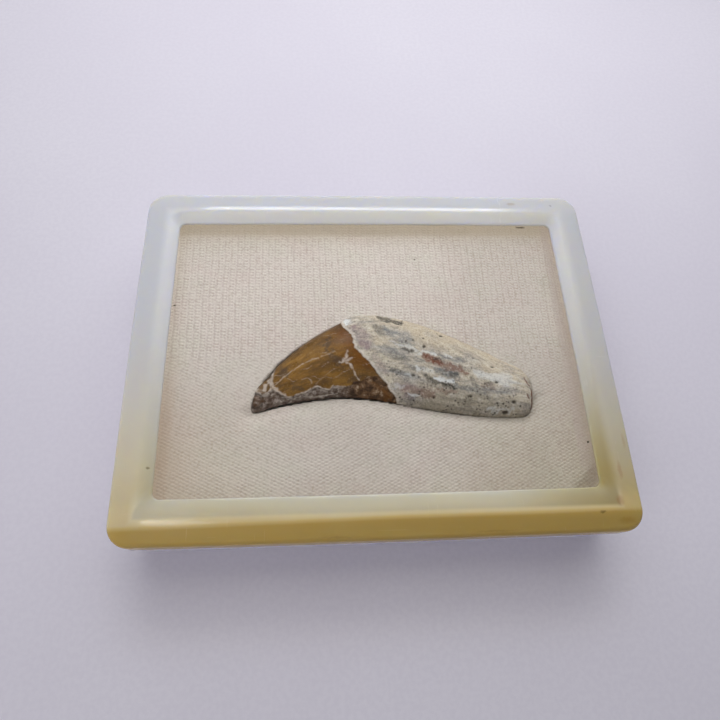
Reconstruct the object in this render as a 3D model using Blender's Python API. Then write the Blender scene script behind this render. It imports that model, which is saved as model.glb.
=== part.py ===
"""Fossil basilosaurus tooth in a small window-lid display box.

Units are metres, +Z is up.  The origin is at the middle of the box's underside:
+X runs along the long side, from the tooth's crown tip to its root end, and
+Y runs to the back of the box.

Five separate pieces:
  tray         moulded base with an upright rim that the lid's skirt goes over
  pad          fabric-faced foam pad that fills the tray
  tooth        the fossil, one grown piece, bedded in the pad
  lid_frame    moulded lid: rounded border, window opening, skirt
  window_pane  clear sheet seated under the lid's lip
"""

import bpy
import bmesh
import math
import numpy as np

MM = 0.001

# ---------------------------------------------------------------- dimensions
BOX_LENGTH = 105.0          # outside, along X
BOX_DEPTH = 81.0            # outside, along Y
BOX_HEIGHT = 20.0           # underside to the ridge of the lid
CLEARANCE = 0.3             # gap between pieces that touch

OUTER_RADIUS = 4.6          # plan radius of the box's corners
WINDOW_RADIUS = 1.5         # plan radius of the window's corners
CORNER_STEPS = 6

# lid
SKIRT_BOTTOM = 14.0         # height of the lid's lower edge
SHOULDER_START = 18.2       # the outer wall rounds over above this
SHOULDER_RADIUS = 1.2
RIDGE_INSET = 5.4           # plan distance from the outside to the ridge
WINDOW_INSET = 8.1          # plan distance from the outside to the window
WINDOW_INSET_DEPTH = 8.8    # the same at the front and the back
LIP_TOP = 19.3              # height of the border at the window's edge
LIP_UNDER = 18.8            # underside of the lip, where the pane seats
SKIRT_WALL = 1.5
SEAT_INSET = 5.0            # wall beside the pane
BEAD_INSET = 5.6            # snap bead that holds the pane
BEAD_TOP = 17.3
BEAD_BOTTOM = 16.6
SHOULDER_STEPS = 5

# window pane
PANE_THICKNESS = 0.9

# tray
FLOOR = 1.8
TRAY_WALL = 1.5
TRAY_SHOULDER = SKIRT_BOTTOM - CLEARANCE
TRAY_INSET_TOP = 0.15       # the tray's wall stands this far inside the lid's
TRAY_INSET_BOTTOM = 0.45    # draft of the tray's wall
TRAY_EDGE = 0.5             # bevel round the underside
RIM_INSET = SKIRT_WALL + CLEARANCE + 0.1
RIM_TOP = BEAD_BOTTOM - CLEARANCE

# pad
PAD_TOP_BACK = 15.6         # level of the fabric, higher at the back
PAD_TOP_FRONT = 12.95
PAD_EDGE_DROP = 2.6         # how far the fabric rounds down at the pad's edge
PAD_ROUND_LEFT = 5.5        # width of the rounded margin on each side
PAD_ROUND_RIGHT = 5.0
PAD_ROUND_BACK = 3.2
PAD_ROUND_FRONT = 3.2
PAD_CUT_X = 47.8            # the front right corner is folded off along a line
PAD_CUT_Y = 27.0            # from (this, -edge) to (edge, -this)
PAD_TROUGH = 1.2            # how far the fabric is drawn down beside the tooth
PAD_TROUGH_WIDTH = 2.2
PAD_CELLS_X = 44
PAD_CELLS_Y = 33

# tooth, plan outline as curve handles (x, y)
TIP_X = -27.0
ROOT_END_X = 35.3
BACK_CROWN = ((-27.0, -11.5), (-23.0, 0.5), (-11.0, 6.0), (-5.0, 10.0))
BACK_ROOT = ((-5.0, 10.0), (10.0, 13.0), (31.0, -4.0), (35.5, -5.0))
FRONT_EDGE = ((-27.0, -13.5), (2.0, -5.0), (5.0, -16.0), (35.5, -15.0))
TOOTH_MIDPLANE = 13.1       # height of the tooth's widest level
TOOTH_RISE = 4.2            # from there to its highest point
TOOTH_SINK = 4.8            # from there to its lowest point
TIP_ROUND = 1.3
ROOT_ROUND = 3.6
TOOTH_STATIONS = 28
TOOTH_SIDES = 24
RECESS_GAP = 0.45           # pad to tooth


# ------------------------------------------------------------------- helpers
def clear_scene():
    for ob in list(bpy.data.objects):
        bpy.data.objects.remove(ob, do_unlink=True)


def make_material(name, colour, roughness, metallic=0.0, transmission=0.0):
    mat = bpy.data.materials.new(name)
    mat.use_nodes = True
    bsdf = mat.node_tree.nodes["Principled BSDF"]
    bsdf.inputs["Base Color"].default_value = (*colour, 1.0)
    bsdf.inputs["Roughness"].default_value = roughness
    bsdf.inputs["Metallic"].default_value = metallic
    bsdf.inputs["Transmission Weight"].default_value = transmission
    return mat


def add_object(name, bm, material, parent, smooth_angle=35.0):
    mesh = bpy.data.meshes.new(name)
    bmesh.ops.recalc_face_normals(bm, faces=bm.faces[:])
    bm.to_mesh(mesh)
    bm.free()
    mesh.shade_smooth()
    mesh.set_sharp_from_angle(angle=math.radians(smooth_angle))
    ob = bpy.data.objects.new(name, mesh)
    mesh.materials.append(material)
    bpy.context.scene.collection.objects.link(ob)
    ob.parent = parent
    return ob


def corner_radius(inset):
    """Plan radius of a ring at this inset: full outside, small at the window."""
    t = min(max(inset / WINDOW_INSET, 0.0), 1.0)
    return OUTER_RADIUS + (WINDOW_RADIUS - OUTER_RADIUS) * t ** 0.75


def depth_inset(inset):
    """The border is a little wider at the front and back, inside the ridge."""
    t = (inset - RIDGE_INSET) / (WINDOW_INSET - RIDGE_INSET)
    return inset + (WINDOW_INSET_DEPTH - WINDOW_INSET) * min(max(t, 0.0), 1.0)


def ring_points(inset, z, radius=None):
    """Rounded rectangle, anticlockwise seen from above, in metres."""
    r = corner_radius(inset) if radius is None else radius
    hx = BOX_LENGTH / 2 - inset
    hy = BOX_DEPTH / 2 - depth_inset(inset)
    pts = []
    for sx, sy, start in ((1, 1, 0), (-1, 1, 90), (-1, -1, 180), (1, -1, 270)):
        for k in range(CORNER_STEPS + 1):
            a = math.radians(start + 90.0 * k / CORNER_STEPS)
            pts.append((MM * (sx * (hx - r) + r * math.cos(a)),
                        MM * (sy * (hy - r) + r * math.sin(a)), MM * z))
    return pts


def add_rings(bm, profile):
    rings = []
    for item in profile:
        rings.append([bm.verts.new(p) for p in ring_points(*item)])
    return rings


def bridge(bm, lower, upper):
    n = len(lower)
    for k in range(n):
        m = (k + 1) % n
        bm.faces.new((lower[k], lower[m], upper[m], upper[k]))


# -------------------------------------------------------------------- pieces
def lid_profile():
    """Closed cross-section of the lid's border as (inset, height)."""
    pts = [(0.25, SKIRT_BOTTOM), (0.0, SKIRT_BOTTOM + 0.25), (0.06, 16.4)]
    for k in range(SHOULDER_STEPS + 1):
        a = math.radians(78.0 * k / SHOULDER_STEPS)
        pts.append((0.1 + SHOULDER_RADIUS * (1.0 - math.cos(a)),
                    SHOULDER_START + SHOULDER_RADIUS * math.sin(a)))
    pts += [(2.4, 19.62),
            (3.6, 19.83),
            (4.5, 19.95),
            (RIDGE_INSET, BOX_HEIGHT),
            (RIDGE_INSET + 0.6, BOX_HEIGHT - 0.08),
            (WINDOW_INSET - 0.75, LIP_TOP + 0.12),
            (WINDOW_INSET - 0.2, LIP_TOP),
            (WINDOW_INSET, LIP_TOP - 0.2),
            (WINDOW_INSET, LIP_UNDER),
            (SEAT_INSET, LIP_UNDER),
            (SEAT_INSET, BEAD_TOP),
            (BEAD_INSET, BEAD_TOP - 0.15),
            (BEAD_INSET, BEAD_BOTTOM + 0.15),
            (BEAD_INSET - 0.3, BEAD_BOTTOM),
            (SKIRT_WALL + 0.3, BEAD_BOTTOM),
            (SKIRT_WALL, BEAD_BOTTOM - 0.3),
            (SKIRT_WALL - 0.05, SKIRT_BOTTOM)]
    return pts


def build_lid_frame(parent):
    bm = bmesh.new()
    rings = add_rings(bm, lid_profile())
    for a, b in zip(rings, rings[1:] + rings[:1]):
        bridge(bm, a, b)
    mat = make_material("lid_plastic", (0.66, 0.64, 0.55), 0.22)
    return add_object("lid_frame", bm, mat, parent)


def build_window_pane(parent):
    bm = bmesh.new()
    inset = SEAT_INSET + CLEARANCE
    top = LIP_UNDER - CLEARANCE
    r = corner_radius(SEAT_INSET)
    rings = add_rings(bm, [(inset, top - PANE_THICKNESS, r), (inset, top, r)])
    bridge(bm, rings[0], rings[1])
    bm.faces.new(rings[1])
    bm.faces.new(list(reversed(rings[0])))
    mat = make_material("clear_pane", (0.95, 0.96, 0.96), 0.03, transmission=1.0)
    return add_object("window_pane", bm, mat, parent)


def build_tray(parent):
    bm = bmesh.new()
    inner = RIM_INSET + TRAY_WALL
    outside = [(TRAY_INSET_BOTTOM + TRAY_EDGE, 0.0),
               (TRAY_INSET_BOTTOM, TRAY_EDGE),
               (TRAY_INSET_TOP, TRAY_SHOULDER - 0.2),
               (TRAY_INSET_TOP + 0.2, TRAY_SHOULDER),
               (RIM_INSET, TRAY_SHOULDER),
               (RIM_INSET, RIM_TOP - 0.3),
               (RIM_INSET + 0.3, RIM_TOP),
               (inner - 0.3, RIM_TOP),
               (inner, RIM_TOP - 0.3),
               (inner, FLOOR + 0.8),
               (inner + 0.8, FLOOR)]
    rings = add_rings(bm, outside)
    for a, b in zip(rings, rings[1:]):
        bridge(bm, a, b)
    bm.faces.new(rings[-1])
    bm.faces.new(list(reversed(rings[0])))
    mat = make_material("tray_plastic", (0.72, 0.69, 0.68), 0.3)
    return add_object("tray", bm, mat, parent)


# --------------------------------------------------------------------- tooth
def bezier(handles, count=200):
    t = np.linspace(0.0, 1.0, count)[:, None]
    p = np.array(handles)
    return ((1 - t) ** 3 * p[0] + 3 * (1 - t) ** 2 * t * p[1]
            + 3 * (1 - t) * t ** 2 * p[2] + t ** 3 * p[3])


BACK_LINE = np.vstack((bezier(BACK_CROWN), bezier(BACK_ROOT)[1:]))
FRONT_LINE = bezier(FRONT_EDGE)


def tooth_section(x):
    """Middle, half width, rise and sink of the tooth at x, in millimetres."""
    back = float(np.interp(x, BACK_LINE[:, 0], BACK_LINE[:, 1]))
    front = float(np.interp(x, FRONT_LINE[:, 0], FRONT_LINE[:, 1]))
    middle = 0.5 * (back + front)
    half = 0.5 * (back - front)
    u = min(max((TIP_X + TIP_ROUND - x) / TIP_ROUND, 0.0), 1.0)
    v = min(max((x - ROOT_END_X + ROOT_ROUND) / ROOT_ROUND, 0.0), 1.0)
    close = math.sqrt(1.0 - u ** 2) * (1.0 - v ** 2.8) ** (1.0 / 2.8)
    # the crown is thinner towards its tip, the root keeps most of its bulk
    bulk = 0.30 + 0.70 * math.sin(0.5 * math.pi * min((x - TIP_X) / 26.0, 1.0)) ** 0.8
    if x > 8.0:
        bulk *= 1.0 - 0.16 * ((x - 8.0) / 27.0) ** 1.3
    return middle, half * close, TOOTH_RISE * bulk * close, TOOTH_SINK * bulk * close


def tooth_mesh(grow):
    """Closed loft of the tooth; grow is added all round, in millimetres."""
    bm = bmesh.new()
    rings = []
    for k in range(1, TOOTH_STATIONS):
        t = k / TOOTH_STATIONS
        s = 0.5 * (1.0 - math.cos(math.pi * t)) * 0.55 + 0.45 * t
        x = TIP_X + (ROOT_END_X - TIP_X) * s
        mid, half, rise, sink = tooth_section(x)
        ring = []
        for j in range(TOOTH_SIDES):
            a = 2.0 * math.pi * j / TOOTH_SIDES
            c, sn = math.cos(a), math.sin(a)
            y = mid + (half + grow) * math.copysign(abs(c) ** 0.92, c)
            z = TOOTH_MIDPLANE + ((rise if sn > 0 else sink) + grow) * sn
            ring.append(bm.verts.new((MM * (x + grow * (2.0 * t - 1.0) ** 5),
                                      MM * y, MM * z)))
        rings.append(ring)
    for a, b in zip(rings, rings[1:]):
        for j in range(TOOTH_SIDES):
            m = (j + 1) % TOOTH_SIDES
            bm.faces.new((a[j], a[m], b[m], b[j]))
    for ring, x in ((rings[0], TIP_X - grow), (rings[-1], ROOT_END_X + grow)):
        mid = tooth_section(min(max(x, TIP_X), ROOT_END_X))[0]
        tip = bm.verts.new((MM * x, MM * mid, MM * TOOTH_MIDPLANE))
        for j in range(TOOTH_SIDES):
            bm.faces.new((ring[j], ring[(j + 1) % TOOTH_SIDES], tip))
    return bm


def build_tooth(parent):
    mat = make_material("fossil_enamel_and_root", (0.45, 0.38, 0.29), 0.42)
    return add_object("tooth", tooth_mesh(0.0), mat, parent, smooth_angle=60.0)


# ----------------------------------------------------------------------- pad
def distance_to_tooth(x, y):
    """Rough plan distance from (x, y) to the tooth's outline, 0 inside it."""
    xs = np.linspace(TIP_X, ROOT_END_X, 90)
    best = 1e9
    for xx in xs:
        mid, half, _, _ = tooth_section(float(xx))
        dy = max(abs(y - mid) - half, 0.0)
        best = min(best, math.hypot(x - xx, dy))
    return best


def round_down(distance, width):
    """0 inside the pad, 1 at its edge, along a quarter of an ellipse."""
    t = min(max(1.0 - distance / width, 0.0), 1.0)
    return 1.0 - math.sqrt(max(1.0 - t * t, 0.0))


def pad_height(x, y, hx, hy):
    drops = [round_down(hx + x, PAD_ROUND_LEFT),
             round_down(hx - x, PAD_ROUND_RIGHT),
             round_down(hy - y, PAD_ROUND_BACK),
             round_down(hy + y, PAD_ROUND_FRONT)]
    # the folded corner: distance from the line that cuts it off
    ax, ay = 36.0, -hy
    bx, by = hx, -PAD_CUT_Y + 2.0
    nx, ny = (by - ay), -(bx - ax)
    n = math.hypot(nx, ny)
    d = -((x - ax) * nx + (y - ay) * ny) / n
    corner = min(max((1.6 - d) / 5.0, 0.0), 1.0)
    drop = math.sqrt(sum(v * v for v in drops))
    level = PAD_TOP_FRONT + (PAD_TOP_BACK - PAD_TOP_FRONT) * (y + hy) / (2.0 * hy)
    z = level - PAD_EDGE_DROP * min(drop, 1.0)
    z -= 2.0 * corner * (1.0 - min(drop, 1.0))
    t = distance_to_tooth(x, y) / PAD_TROUGH_WIDTH
    return z - PAD_TROUGH * math.exp(-t * t)


def build_pad(parent):
    inset = RIM_INSET + TRAY_WALL + CLEARANCE + 0.1
    hx = BOX_LENGTH / 2 - inset
    hy = BOX_DEPTH / 2 - inset
    base = FLOOR + CLEARANCE
    bm = bmesh.new()
    top, low = [], []
    for i in range(PAD_CELLS_X + 1):
        u = -1.0 + 2.0 * i / PAD_CELLS_X
        row = []
        for j in range(PAD_CELLS_Y + 1):
            v = -1.0 + 2.0 * j / PAD_CELLS_Y
            # the corners of the plan are drawn in a little
            x = hx * u * (1.0 - 0.018 * max(abs(v) - 0.85, 0.0) / 0.15 * abs(u) ** 8)
            y = hy * v * (1.0 - 0.024 * max(abs(u) - 0.85, 0.0) / 0.15 * abs(v) ** 8)
            row.append(bm.verts.new((MM * x, MM * y, MM * pad_height(x, y, hx, hy))))
        top.append(row)
    for i in range(PAD_CELLS_X):
        for j in range(PAD_CELLS_Y):
            bm.faces.new((top[i][j], top[i + 1][j], top[i + 1][j + 1], top[i][j + 1]))
    border = ([top[i][0] for i in range(PAD_CELLS_X)]
              + [top[PAD_CELLS_X][j] for j in range(PAD_CELLS_Y)]
              + [top[i][PAD_CELLS_Y] for i in range(PAD_CELLS_X, 0, -1)]
              + [top[0][j] for j in range(PAD_CELLS_Y, 0, -1)])
    low = []
    for v in border:
        shrink = 1.0 - 0.012
        low.append(bm.verts.new((v.co.x * shrink, v.co.y * shrink, MM * base)))
    n = len(border)
    for k in range(n):
        m = (k + 1) % n
        bm.faces.new((border[k], low[k], low[m], border[m]))
    bm.faces.new(low)
    mat = make_material("pad_fabric", (0.56, 0.50, 0.43), 0.9)
    pad = add_object("pad", bm, mat, parent, smooth_angle=60.0)

    cutter_bm = tooth_mesh(RECESS_GAP)
    cutter = add_object("tooth_recess_cutter", cutter_bm, mat, parent)
    cutter.hide_render = True
    cutter.display_type = "WIRE"
    cut = pad.modifiers.new("tooth_recess", "BOOLEAN")
    cut.operation = "DIFFERENCE"
    cut.solver = "EXACT"
    cut.object = cutter
    return pad


def main():
    clear_scene()
    root = bpy.data.objects.new("display_box", None)
    bpy.context.scene.collection.objects.link(root)
    build_tray(root)
    build_pad(root)
    build_tooth(root)
    build_lid_frame(root)
    build_window_pane(root)
    bpy.context.view_layer.update()


main()
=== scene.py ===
"""Looks of the basilosaurus tooth in its window-lid display box.

Lengths are in millimetres until a mesh is written, which is in metres.
"""
import math

import bmesh
import bpy
import numpy as np
from mathutils import Matrix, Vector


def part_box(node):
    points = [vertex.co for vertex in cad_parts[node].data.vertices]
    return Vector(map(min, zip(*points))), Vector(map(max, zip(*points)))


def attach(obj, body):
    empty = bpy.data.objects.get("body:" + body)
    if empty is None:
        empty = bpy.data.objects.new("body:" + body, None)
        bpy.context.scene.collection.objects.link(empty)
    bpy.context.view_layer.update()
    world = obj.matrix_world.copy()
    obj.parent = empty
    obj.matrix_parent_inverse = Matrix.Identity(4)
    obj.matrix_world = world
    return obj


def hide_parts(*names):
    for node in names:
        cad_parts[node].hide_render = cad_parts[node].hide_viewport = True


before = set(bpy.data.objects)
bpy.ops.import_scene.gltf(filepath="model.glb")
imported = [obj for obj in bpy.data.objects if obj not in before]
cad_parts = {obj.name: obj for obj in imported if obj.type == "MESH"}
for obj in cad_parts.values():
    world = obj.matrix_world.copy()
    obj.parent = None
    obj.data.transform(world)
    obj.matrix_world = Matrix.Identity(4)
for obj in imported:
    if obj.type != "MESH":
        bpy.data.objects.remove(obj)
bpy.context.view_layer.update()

MM = 0.001
scene = bpy.context.scene
scene.view_settings.view_transform = "Standard"

# ------------------------------------------------------------ sizes, as the CAD
BOX_X, BOX_Y, BOX_Z = 105.0, 81.0, 20.0
SKIRT = 14.0
SHOULDER = 18.2
RIDGE = 5.4
WINDOW, WINDOW_DEPTH = 8.1, 8.8
LIP_TOP, LIP_UNDER = 19.3, 18.8
LIFT = 1.17                 # the light in the box is dimmer than outside it


# ------------------------------------------------------------------- small tools
def srgb(r, g, b):
    out = []
    for v in (r, g, b):
        v = v / 255.0
        out.append(v / 12.92 if v <= 0.04045 else ((v + 0.055) / 1.055) ** 2.4)
    return tuple(out)


def tone(r, g, b):
    """A colour as it looks in the box, lifted to its own lightness."""
    return tuple(min(v * LIFT, 0.92) for v in srgb(r, g, b))


def bone_tone(r, g, b):
    return tuple(v * 0.80 for v in tone(r, g, b))


def smooth(a, b, x):
    t = np.clip((np.asarray(x, float) - a) / (b - a), 0.0, 1.0)
    return t * t * (3.0 - 2.0 * t)


def hashed(ix, iy, iz, seed):
    h = (ix.astype(np.int64) * 374761393 + iy.astype(np.int64) * 668265263
         + iz.astype(np.int64) * 2147483647 + seed * 1274126177) & 0xFFFFFFFF
    h = ((h ^ (h >> 13)) * 1103515245 + 12345) & 0xFFFFFFFF
    h = (h ^ (h >> 16)) * 2246822519 & 0xFFFFFFFF
    h = h ^ (h >> 13)
    return (h & 0xFFFFFF) / float(0xFFFFFF)


def value_noise(x, y, z, seed):
    """Smooth noise from 0 to 1, one cell a unit."""
    x, y, z = np.broadcast_arrays(np.asarray(x, float), np.asarray(y, float), np.asarray(z, float))
    ix, iy, iz = np.floor(x), np.floor(y), np.floor(z)
    fx, fy, fz = x - ix, y - iy, z - iz
    fx, fy, fz = (f * f * f * (f * (f * 6 - 15) + 10) for f in (fx, fy, fz))
    out = 0.0
    for dx in (0, 1):
        wx = fx if dx else 1 - fx
        for dy in (0, 1):
            wy = fy if dy else 1 - fy
            for dz in (0, 1):
                wz = fz if dz else 1 - fz
                out = out + wx * wy * wz * hashed(ix + dx, iy + dy, iz + dz, seed)
    return out


def fractal(x, y, z, seed, octaves=4, gain=0.5):
    """Several layers of value noise, centred on 0, roughly -1 to 1."""
    total, amp, norm = 0.0, 1.0, 0.0
    x, y, z = np.asarray(x, float), np.asarray(y, float), np.asarray(z, float)
    for k in range(octaves):
        total = total + amp * (value_noise(x * 2 ** k + 7.3 * k, y * 2 ** k - 3.1 * k, z * 2 ** k + 1.7 * k, seed + k) - 0.5)
        norm += amp * 0.5
        amp *= gain
    return total / norm * 1.4


def segment_distance(px, py, line):
    """Shortest plan distance to a polyline, and how far along it (0 to 1)."""
    best = np.full(px.shape, 1e9)
    along = np.zeros(px.shape)
    lens = [math.hypot(b[0] - a[0], b[1] - a[1]) for a, b in zip(line, line[1:])]
    total, run = sum(lens), 0.0
    for (a, b), ln in zip(zip(line, line[1:]), lens):
        dx, dy = b[0] - a[0], b[1] - a[1]
        t = np.clip(((px - a[0]) * dx + (py - a[1]) * dy) / max(ln * ln, 1e-9), 0, 1)
        d = np.hypot(px - a[0] - t * dx, py - a[1] - t * dy)
        near = d < best
        best = np.where(near, d, best)
        along = np.where(near, (run + t * ln) / total, along)
        run += ln
    return best, along


def make_object(name, verts, faces, attrs=None, sharp=None, body="root"):
    """A piece from points in millimetres."""
    mesh = bpy.data.meshes.new(name)
    mesh.from_pydata((np.asarray(verts, float) * MM).tolist(), [], [tuple(int(i) for i in f) for f in faces])
    mesh.validate()
    mesh.update()
    bm = bmesh.new()
    bm.from_mesh(mesh)
    bmesh.ops.recalc_face_normals(bm, faces=bm.faces[:])
    bm.to_mesh(mesh)
    bm.free()
    mesh.shade_smooth()
    if sharp:
        mesh.set_sharp_from_angle(angle=math.radians(sharp))
    for key, values in (attrs or {}).items():
        layer = mesh.attributes.new(key, "FLOAT", "POINT")
        layer.data.foreach_set("value", np.asarray(values, np.float32))
    ob = bpy.data.objects.new(name, mesh)
    scene.collection.objects.link(ob)
    if body:
        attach(ob, body)
    return ob


class Graph:
    """A node material written as a few lines of code."""

    def __init__(self, name):
        self.mat = bpy.data.materials.new(name)
        self.mat.use_nodes = True
        self.tree = self.mat.node_tree
        self.tree.nodes.clear()
        self.out = self.tree.nodes.new("ShaderNodeOutputMaterial")
        self.coords = None

    def put(self, socket, value):
        if isinstance(value, bpy.types.NodeSocket):
            self.tree.links.new(value, socket)
        elif value is not None:
            if hasattr(socket.default_value, "__len__"):
                value = tuple(value)
                if len(socket.default_value) == 4 and len(value) == 3:
                    value = (*value, 1.0)
            socket.default_value = value

    def node(self, kind, props=None, **inputs):
        n = self.tree.nodes.new(kind)
        for k, v in (props or {}).items():
            setattr(n, k, v)
        for k, v in inputs.items():
            self.put(n.inputs[k.replace("_", " ")], v)
        return n

    def place(self):
        if self.coords is None:
            self.coords = self.tree.nodes.new("ShaderNodeTexCoord").outputs["Object"]
        return self.coords

    def attr(self, name):
        n = self.tree.nodes.new("ShaderNodeAttribute")
        n.attribute_name = name
        return n.outputs["Fac"]

    def math(self, op, a, b=None, c=None, clamp=False):
        n = self.tree.nodes.new("ShaderNodeMath")
        n.operation = op
        n.use_clamp = clamp
        for k, v in enumerate((a, b, c)):
            if v is not None:
                self.put(n.inputs[k], v)
        return n.outputs[0]

    def mix(self, fac, a, b, blend="MIX"):
        n = self.tree.nodes.new("ShaderNodeMix")
        n.data_type = "RGBA"
        n.blend_type = blend
        self.put(n.inputs[0], fac)
        self.put(n.inputs[6], a)
        self.put(n.inputs[7], b)
        return n.outputs[2]

    def stretch(self, scale, vec=None, turn=(0, 0, 0)):
        n = self.tree.nodes.new("ShaderNodeMapping")
        self.put(n.inputs["Vector"], vec or self.place())
        n.inputs["Scale"].default_value = scale
        n.inputs["Rotation"].default_value = turn
        return n.outputs[0]

    def noise(self, vec=None, scale=100.0, detail=3.0, rough=0.55, distort=0.0):
        n = self.tree.nodes.new("ShaderNodeTexNoise")
        self.put(n.inputs["Vector"], vec or self.place())
        n.inputs["Scale"].default_value = scale
        n.inputs["Detail"].default_value = detail
        n.inputs["Roughness"].default_value = rough
        n.inputs["Distortion"].default_value = distort
        return n.outputs["Fac"]

    def cells(self, vec=None, scale=100.0, feature="F1"):
        n = self.tree.nodes.new("ShaderNodeTexVoronoi")
        n.feature = feature
        self.put(n.inputs["Vector"], vec or self.place())
        n.inputs["Scale"].default_value = scale
        return n.outputs["Distance"]

    def span(self, value, low, high, to_low=0.0, to_high=1.0):
        n = self.tree.nodes.new("ShaderNodeMapRange")
        n.interpolation_type = "SMOOTHSTEP"
        self.put(n.inputs[0], value)
        for k, v in zip((1, 2, 3, 4), (low, high, to_low, to_high)):
            n.inputs[k].default_value = v
        return n.outputs[0]

    def ramp(self, fac, stops):
        n = self.tree.nodes.new("ShaderNodeValToRGB")
        el = n.color_ramp.elements
        while len(el) < len(stops):
            el.new(0.5)
        for e, (at, colour) in zip(el, stops):
            e.position = at
            e.color = (*colour, 1.0)
        self.put(n.inputs[0], fac)
        return n.outputs[0]

    def spot(self, at, size, vec=None):
        """1 inside a ragged ellipsoid; its place and half sizes are in millimetres."""
        away = self.tree.nodes.new("ShaderNodeVectorMath")
        away.operation = "SUBTRACT"
        self.put(away.inputs[0], vec or self.place())
        away.inputs[1].default_value = tuple(v * MM for v in at)
        scaled = self.tree.nodes.new("ShaderNodeVectorMath")
        scaled.operation = "MULTIPLY"
        self.tree.links.new(away.outputs[0], scaled.inputs[0])
        scaled.inputs[1].default_value = tuple(1.0 / (v * MM) for v in size)
        length = self.tree.nodes.new("ShaderNodeVectorMath")
        length.operation = "LENGTH"
        self.tree.links.new(scaled.outputs[0], length.inputs[0])
        return self.span(length.outputs["Value"], 1.0, 0.35)

    def bump(self, height, strength=1.0, distance=0.0001, under=None):
        n = self.tree.nodes.new("ShaderNodeBump")
        n.inputs["Strength"].default_value = strength
        n.inputs["Distance"].default_value = distance
        self.put(n.inputs["Height"], height)
        if under is not None:
            self.put(n.inputs["Normal"], under)
        return n.outputs[0]

    def surface(self, **inputs):
        n = self.tree.nodes.new("ShaderNodeBsdfPrincipled")
        for k, v in inputs.items():
            self.put(n.inputs[k.replace("_", " ")], v)
        self.tree.links.new(n.outputs[0], self.out.inputs["Surface"])
        return n


# ---------------------------------------------------------------------- camera
def make_camera():
    pitch, yaw, roll = (math.radians(a) for a in (67.66, 10.0, 8.55))
    forward = np.array([math.sin(yaw) * math.cos(pitch), math.cos(yaw) * math.cos(pitch), -math.sin(pitch)])
    right = np.array([math.cos(yaw), -math.sin(yaw), 0.0])
    up = np.cross(right, forward)
    r = math.cos(roll) * right + math.sin(roll) * up
    u = -math.sin(roll) * right + math.cos(roll) * up
    at = np.array([-11.05, -47.01, 126.98]) * MM
    data = bpy.data.cameras.new("camera")
    data.sensor_width = 36.0
    data.lens = 27.0
    data.clip_start, data.clip_end = 0.005, 20.0
    ob = bpy.data.objects.new("camera", data)
    scene.collection.objects.link(ob)
    ob.matrix_world = Matrix(((r[0], u[0], -forward[0], at[0]), (r[1], u[1], -forward[1], at[1]),
                              (r[2], u[2], -forward[2], at[2]), (0, 0, 0, 1)))
    scene.camera = ob


def aim(ob, target):
    d = np.array(target, float) - np.array(ob.location)
    from mathutils import Vector
    ob.rotation_mode = "QUATERNION"
    ob.rotation_quaternion = Vector(d).to_track_quat("-Z", "Y")


def make_lights():
    """A wide soft light overhead, weaker ones from the front left and the back, two for the gloss, and a dim room."""
    world = bpy.data.worlds.new("soft_room")
    scene.world = world
    world.use_nodes = True
    tree = world.node_tree
    back = tree.nodes["Background"]
    way = tree.nodes.new("ShaderNodeTexCoord").outputs["Generated"]

    def faced(axis, low, high, to_low, to_high):
        """A level that changes smoothly with the angle from one direction."""
        dot = tree.nodes.new("ShaderNodeVectorMath")
        dot.operation = "DOT_PRODUCT"
        tree.links.new(way, dot.inputs[0])
        dot.inputs[1].default_value = axis
        level = tree.nodes.new("ShaderNodeMapRange")
        level.interpolation_type = "SMOOTHSTEP"
        tree.links.new(dot.outputs["Value"], level.inputs[0])
        for k, v in zip((1, 2, 3, 4), (low, high, to_low, to_high)):
            level.inputs[k].default_value = v
        return level.outputs[0]

    room = faced((-0.85, -0.52, 0.0), -0.7, 0.8, ROOM_DIM, ROOM_BRIGHT)
    dim = faced((0.087, 0.42, 0.903), 0.78, 0.90, 1.0, 0.06)   # an unlit stretch of ceiling
    both = tree.nodes.new("ShaderNodeMath")
    both.operation = "MULTIPLY"
    tree.links.new(room, both.inputs[0])
    tree.links.new(dim, both.inputs[1])
    tree.links.new(both.outputs[0], back.inputs[1])
    back.inputs[0].default_value = (*srgb(240, 239, 249), 1.0)
    world.cycles.sampling_method = "NONE"
    for name, at, size, power, colour, diffuse, gloss in LIGHTS:
        data = bpy.data.lights.new(name, "AREA")
        data.shape = "RECTANGLE"
        data.size, data.size_y = size
        data.energy = power
        data.color = colour
        ob = bpy.data.objects.new(name, data)
        ob.location = at
        ob.visible_transmission = False
        ob.visible_diffuse = diffuse
        ob.visible_glossy = gloss
        data.cycles.use_multiple_importance_sampling = gloss     # a lamp that is only sampled directly reaches the pad in full
        scene.collection.objects.link(ob)
        aim(ob, (0.0, 0.0, 0.0))


ROOM_DIM, ROOM_BRIGHT = 0.12, 0.33
LIGHTS = (
    ("sky_light", (0.014, 0.12, 0.16), (0.37, 0.26), 0.455, srgb(252, 252, 255), True, False),
    ("fill_light", (-0.18, -0.18, 0.22), (0.20, 0.20), 0.195, srgb(252, 250, 252), True, False),
    ("back_light", (0.017, 0.53, 0.545), (0.40, 0.13), 0.85, srgb(250, 252, 255), True, False),
    ("strip_light", (0.043, 0.53, 0.545), (0.453, 0.13), 1.65, srgb(250, 252, 255), False, True),
    ("spark_light", (-0.205, -0.09, 0.60), (0.11, 0.05), 0.16, srgb(255, 252, 246), False, True),
)


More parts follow.
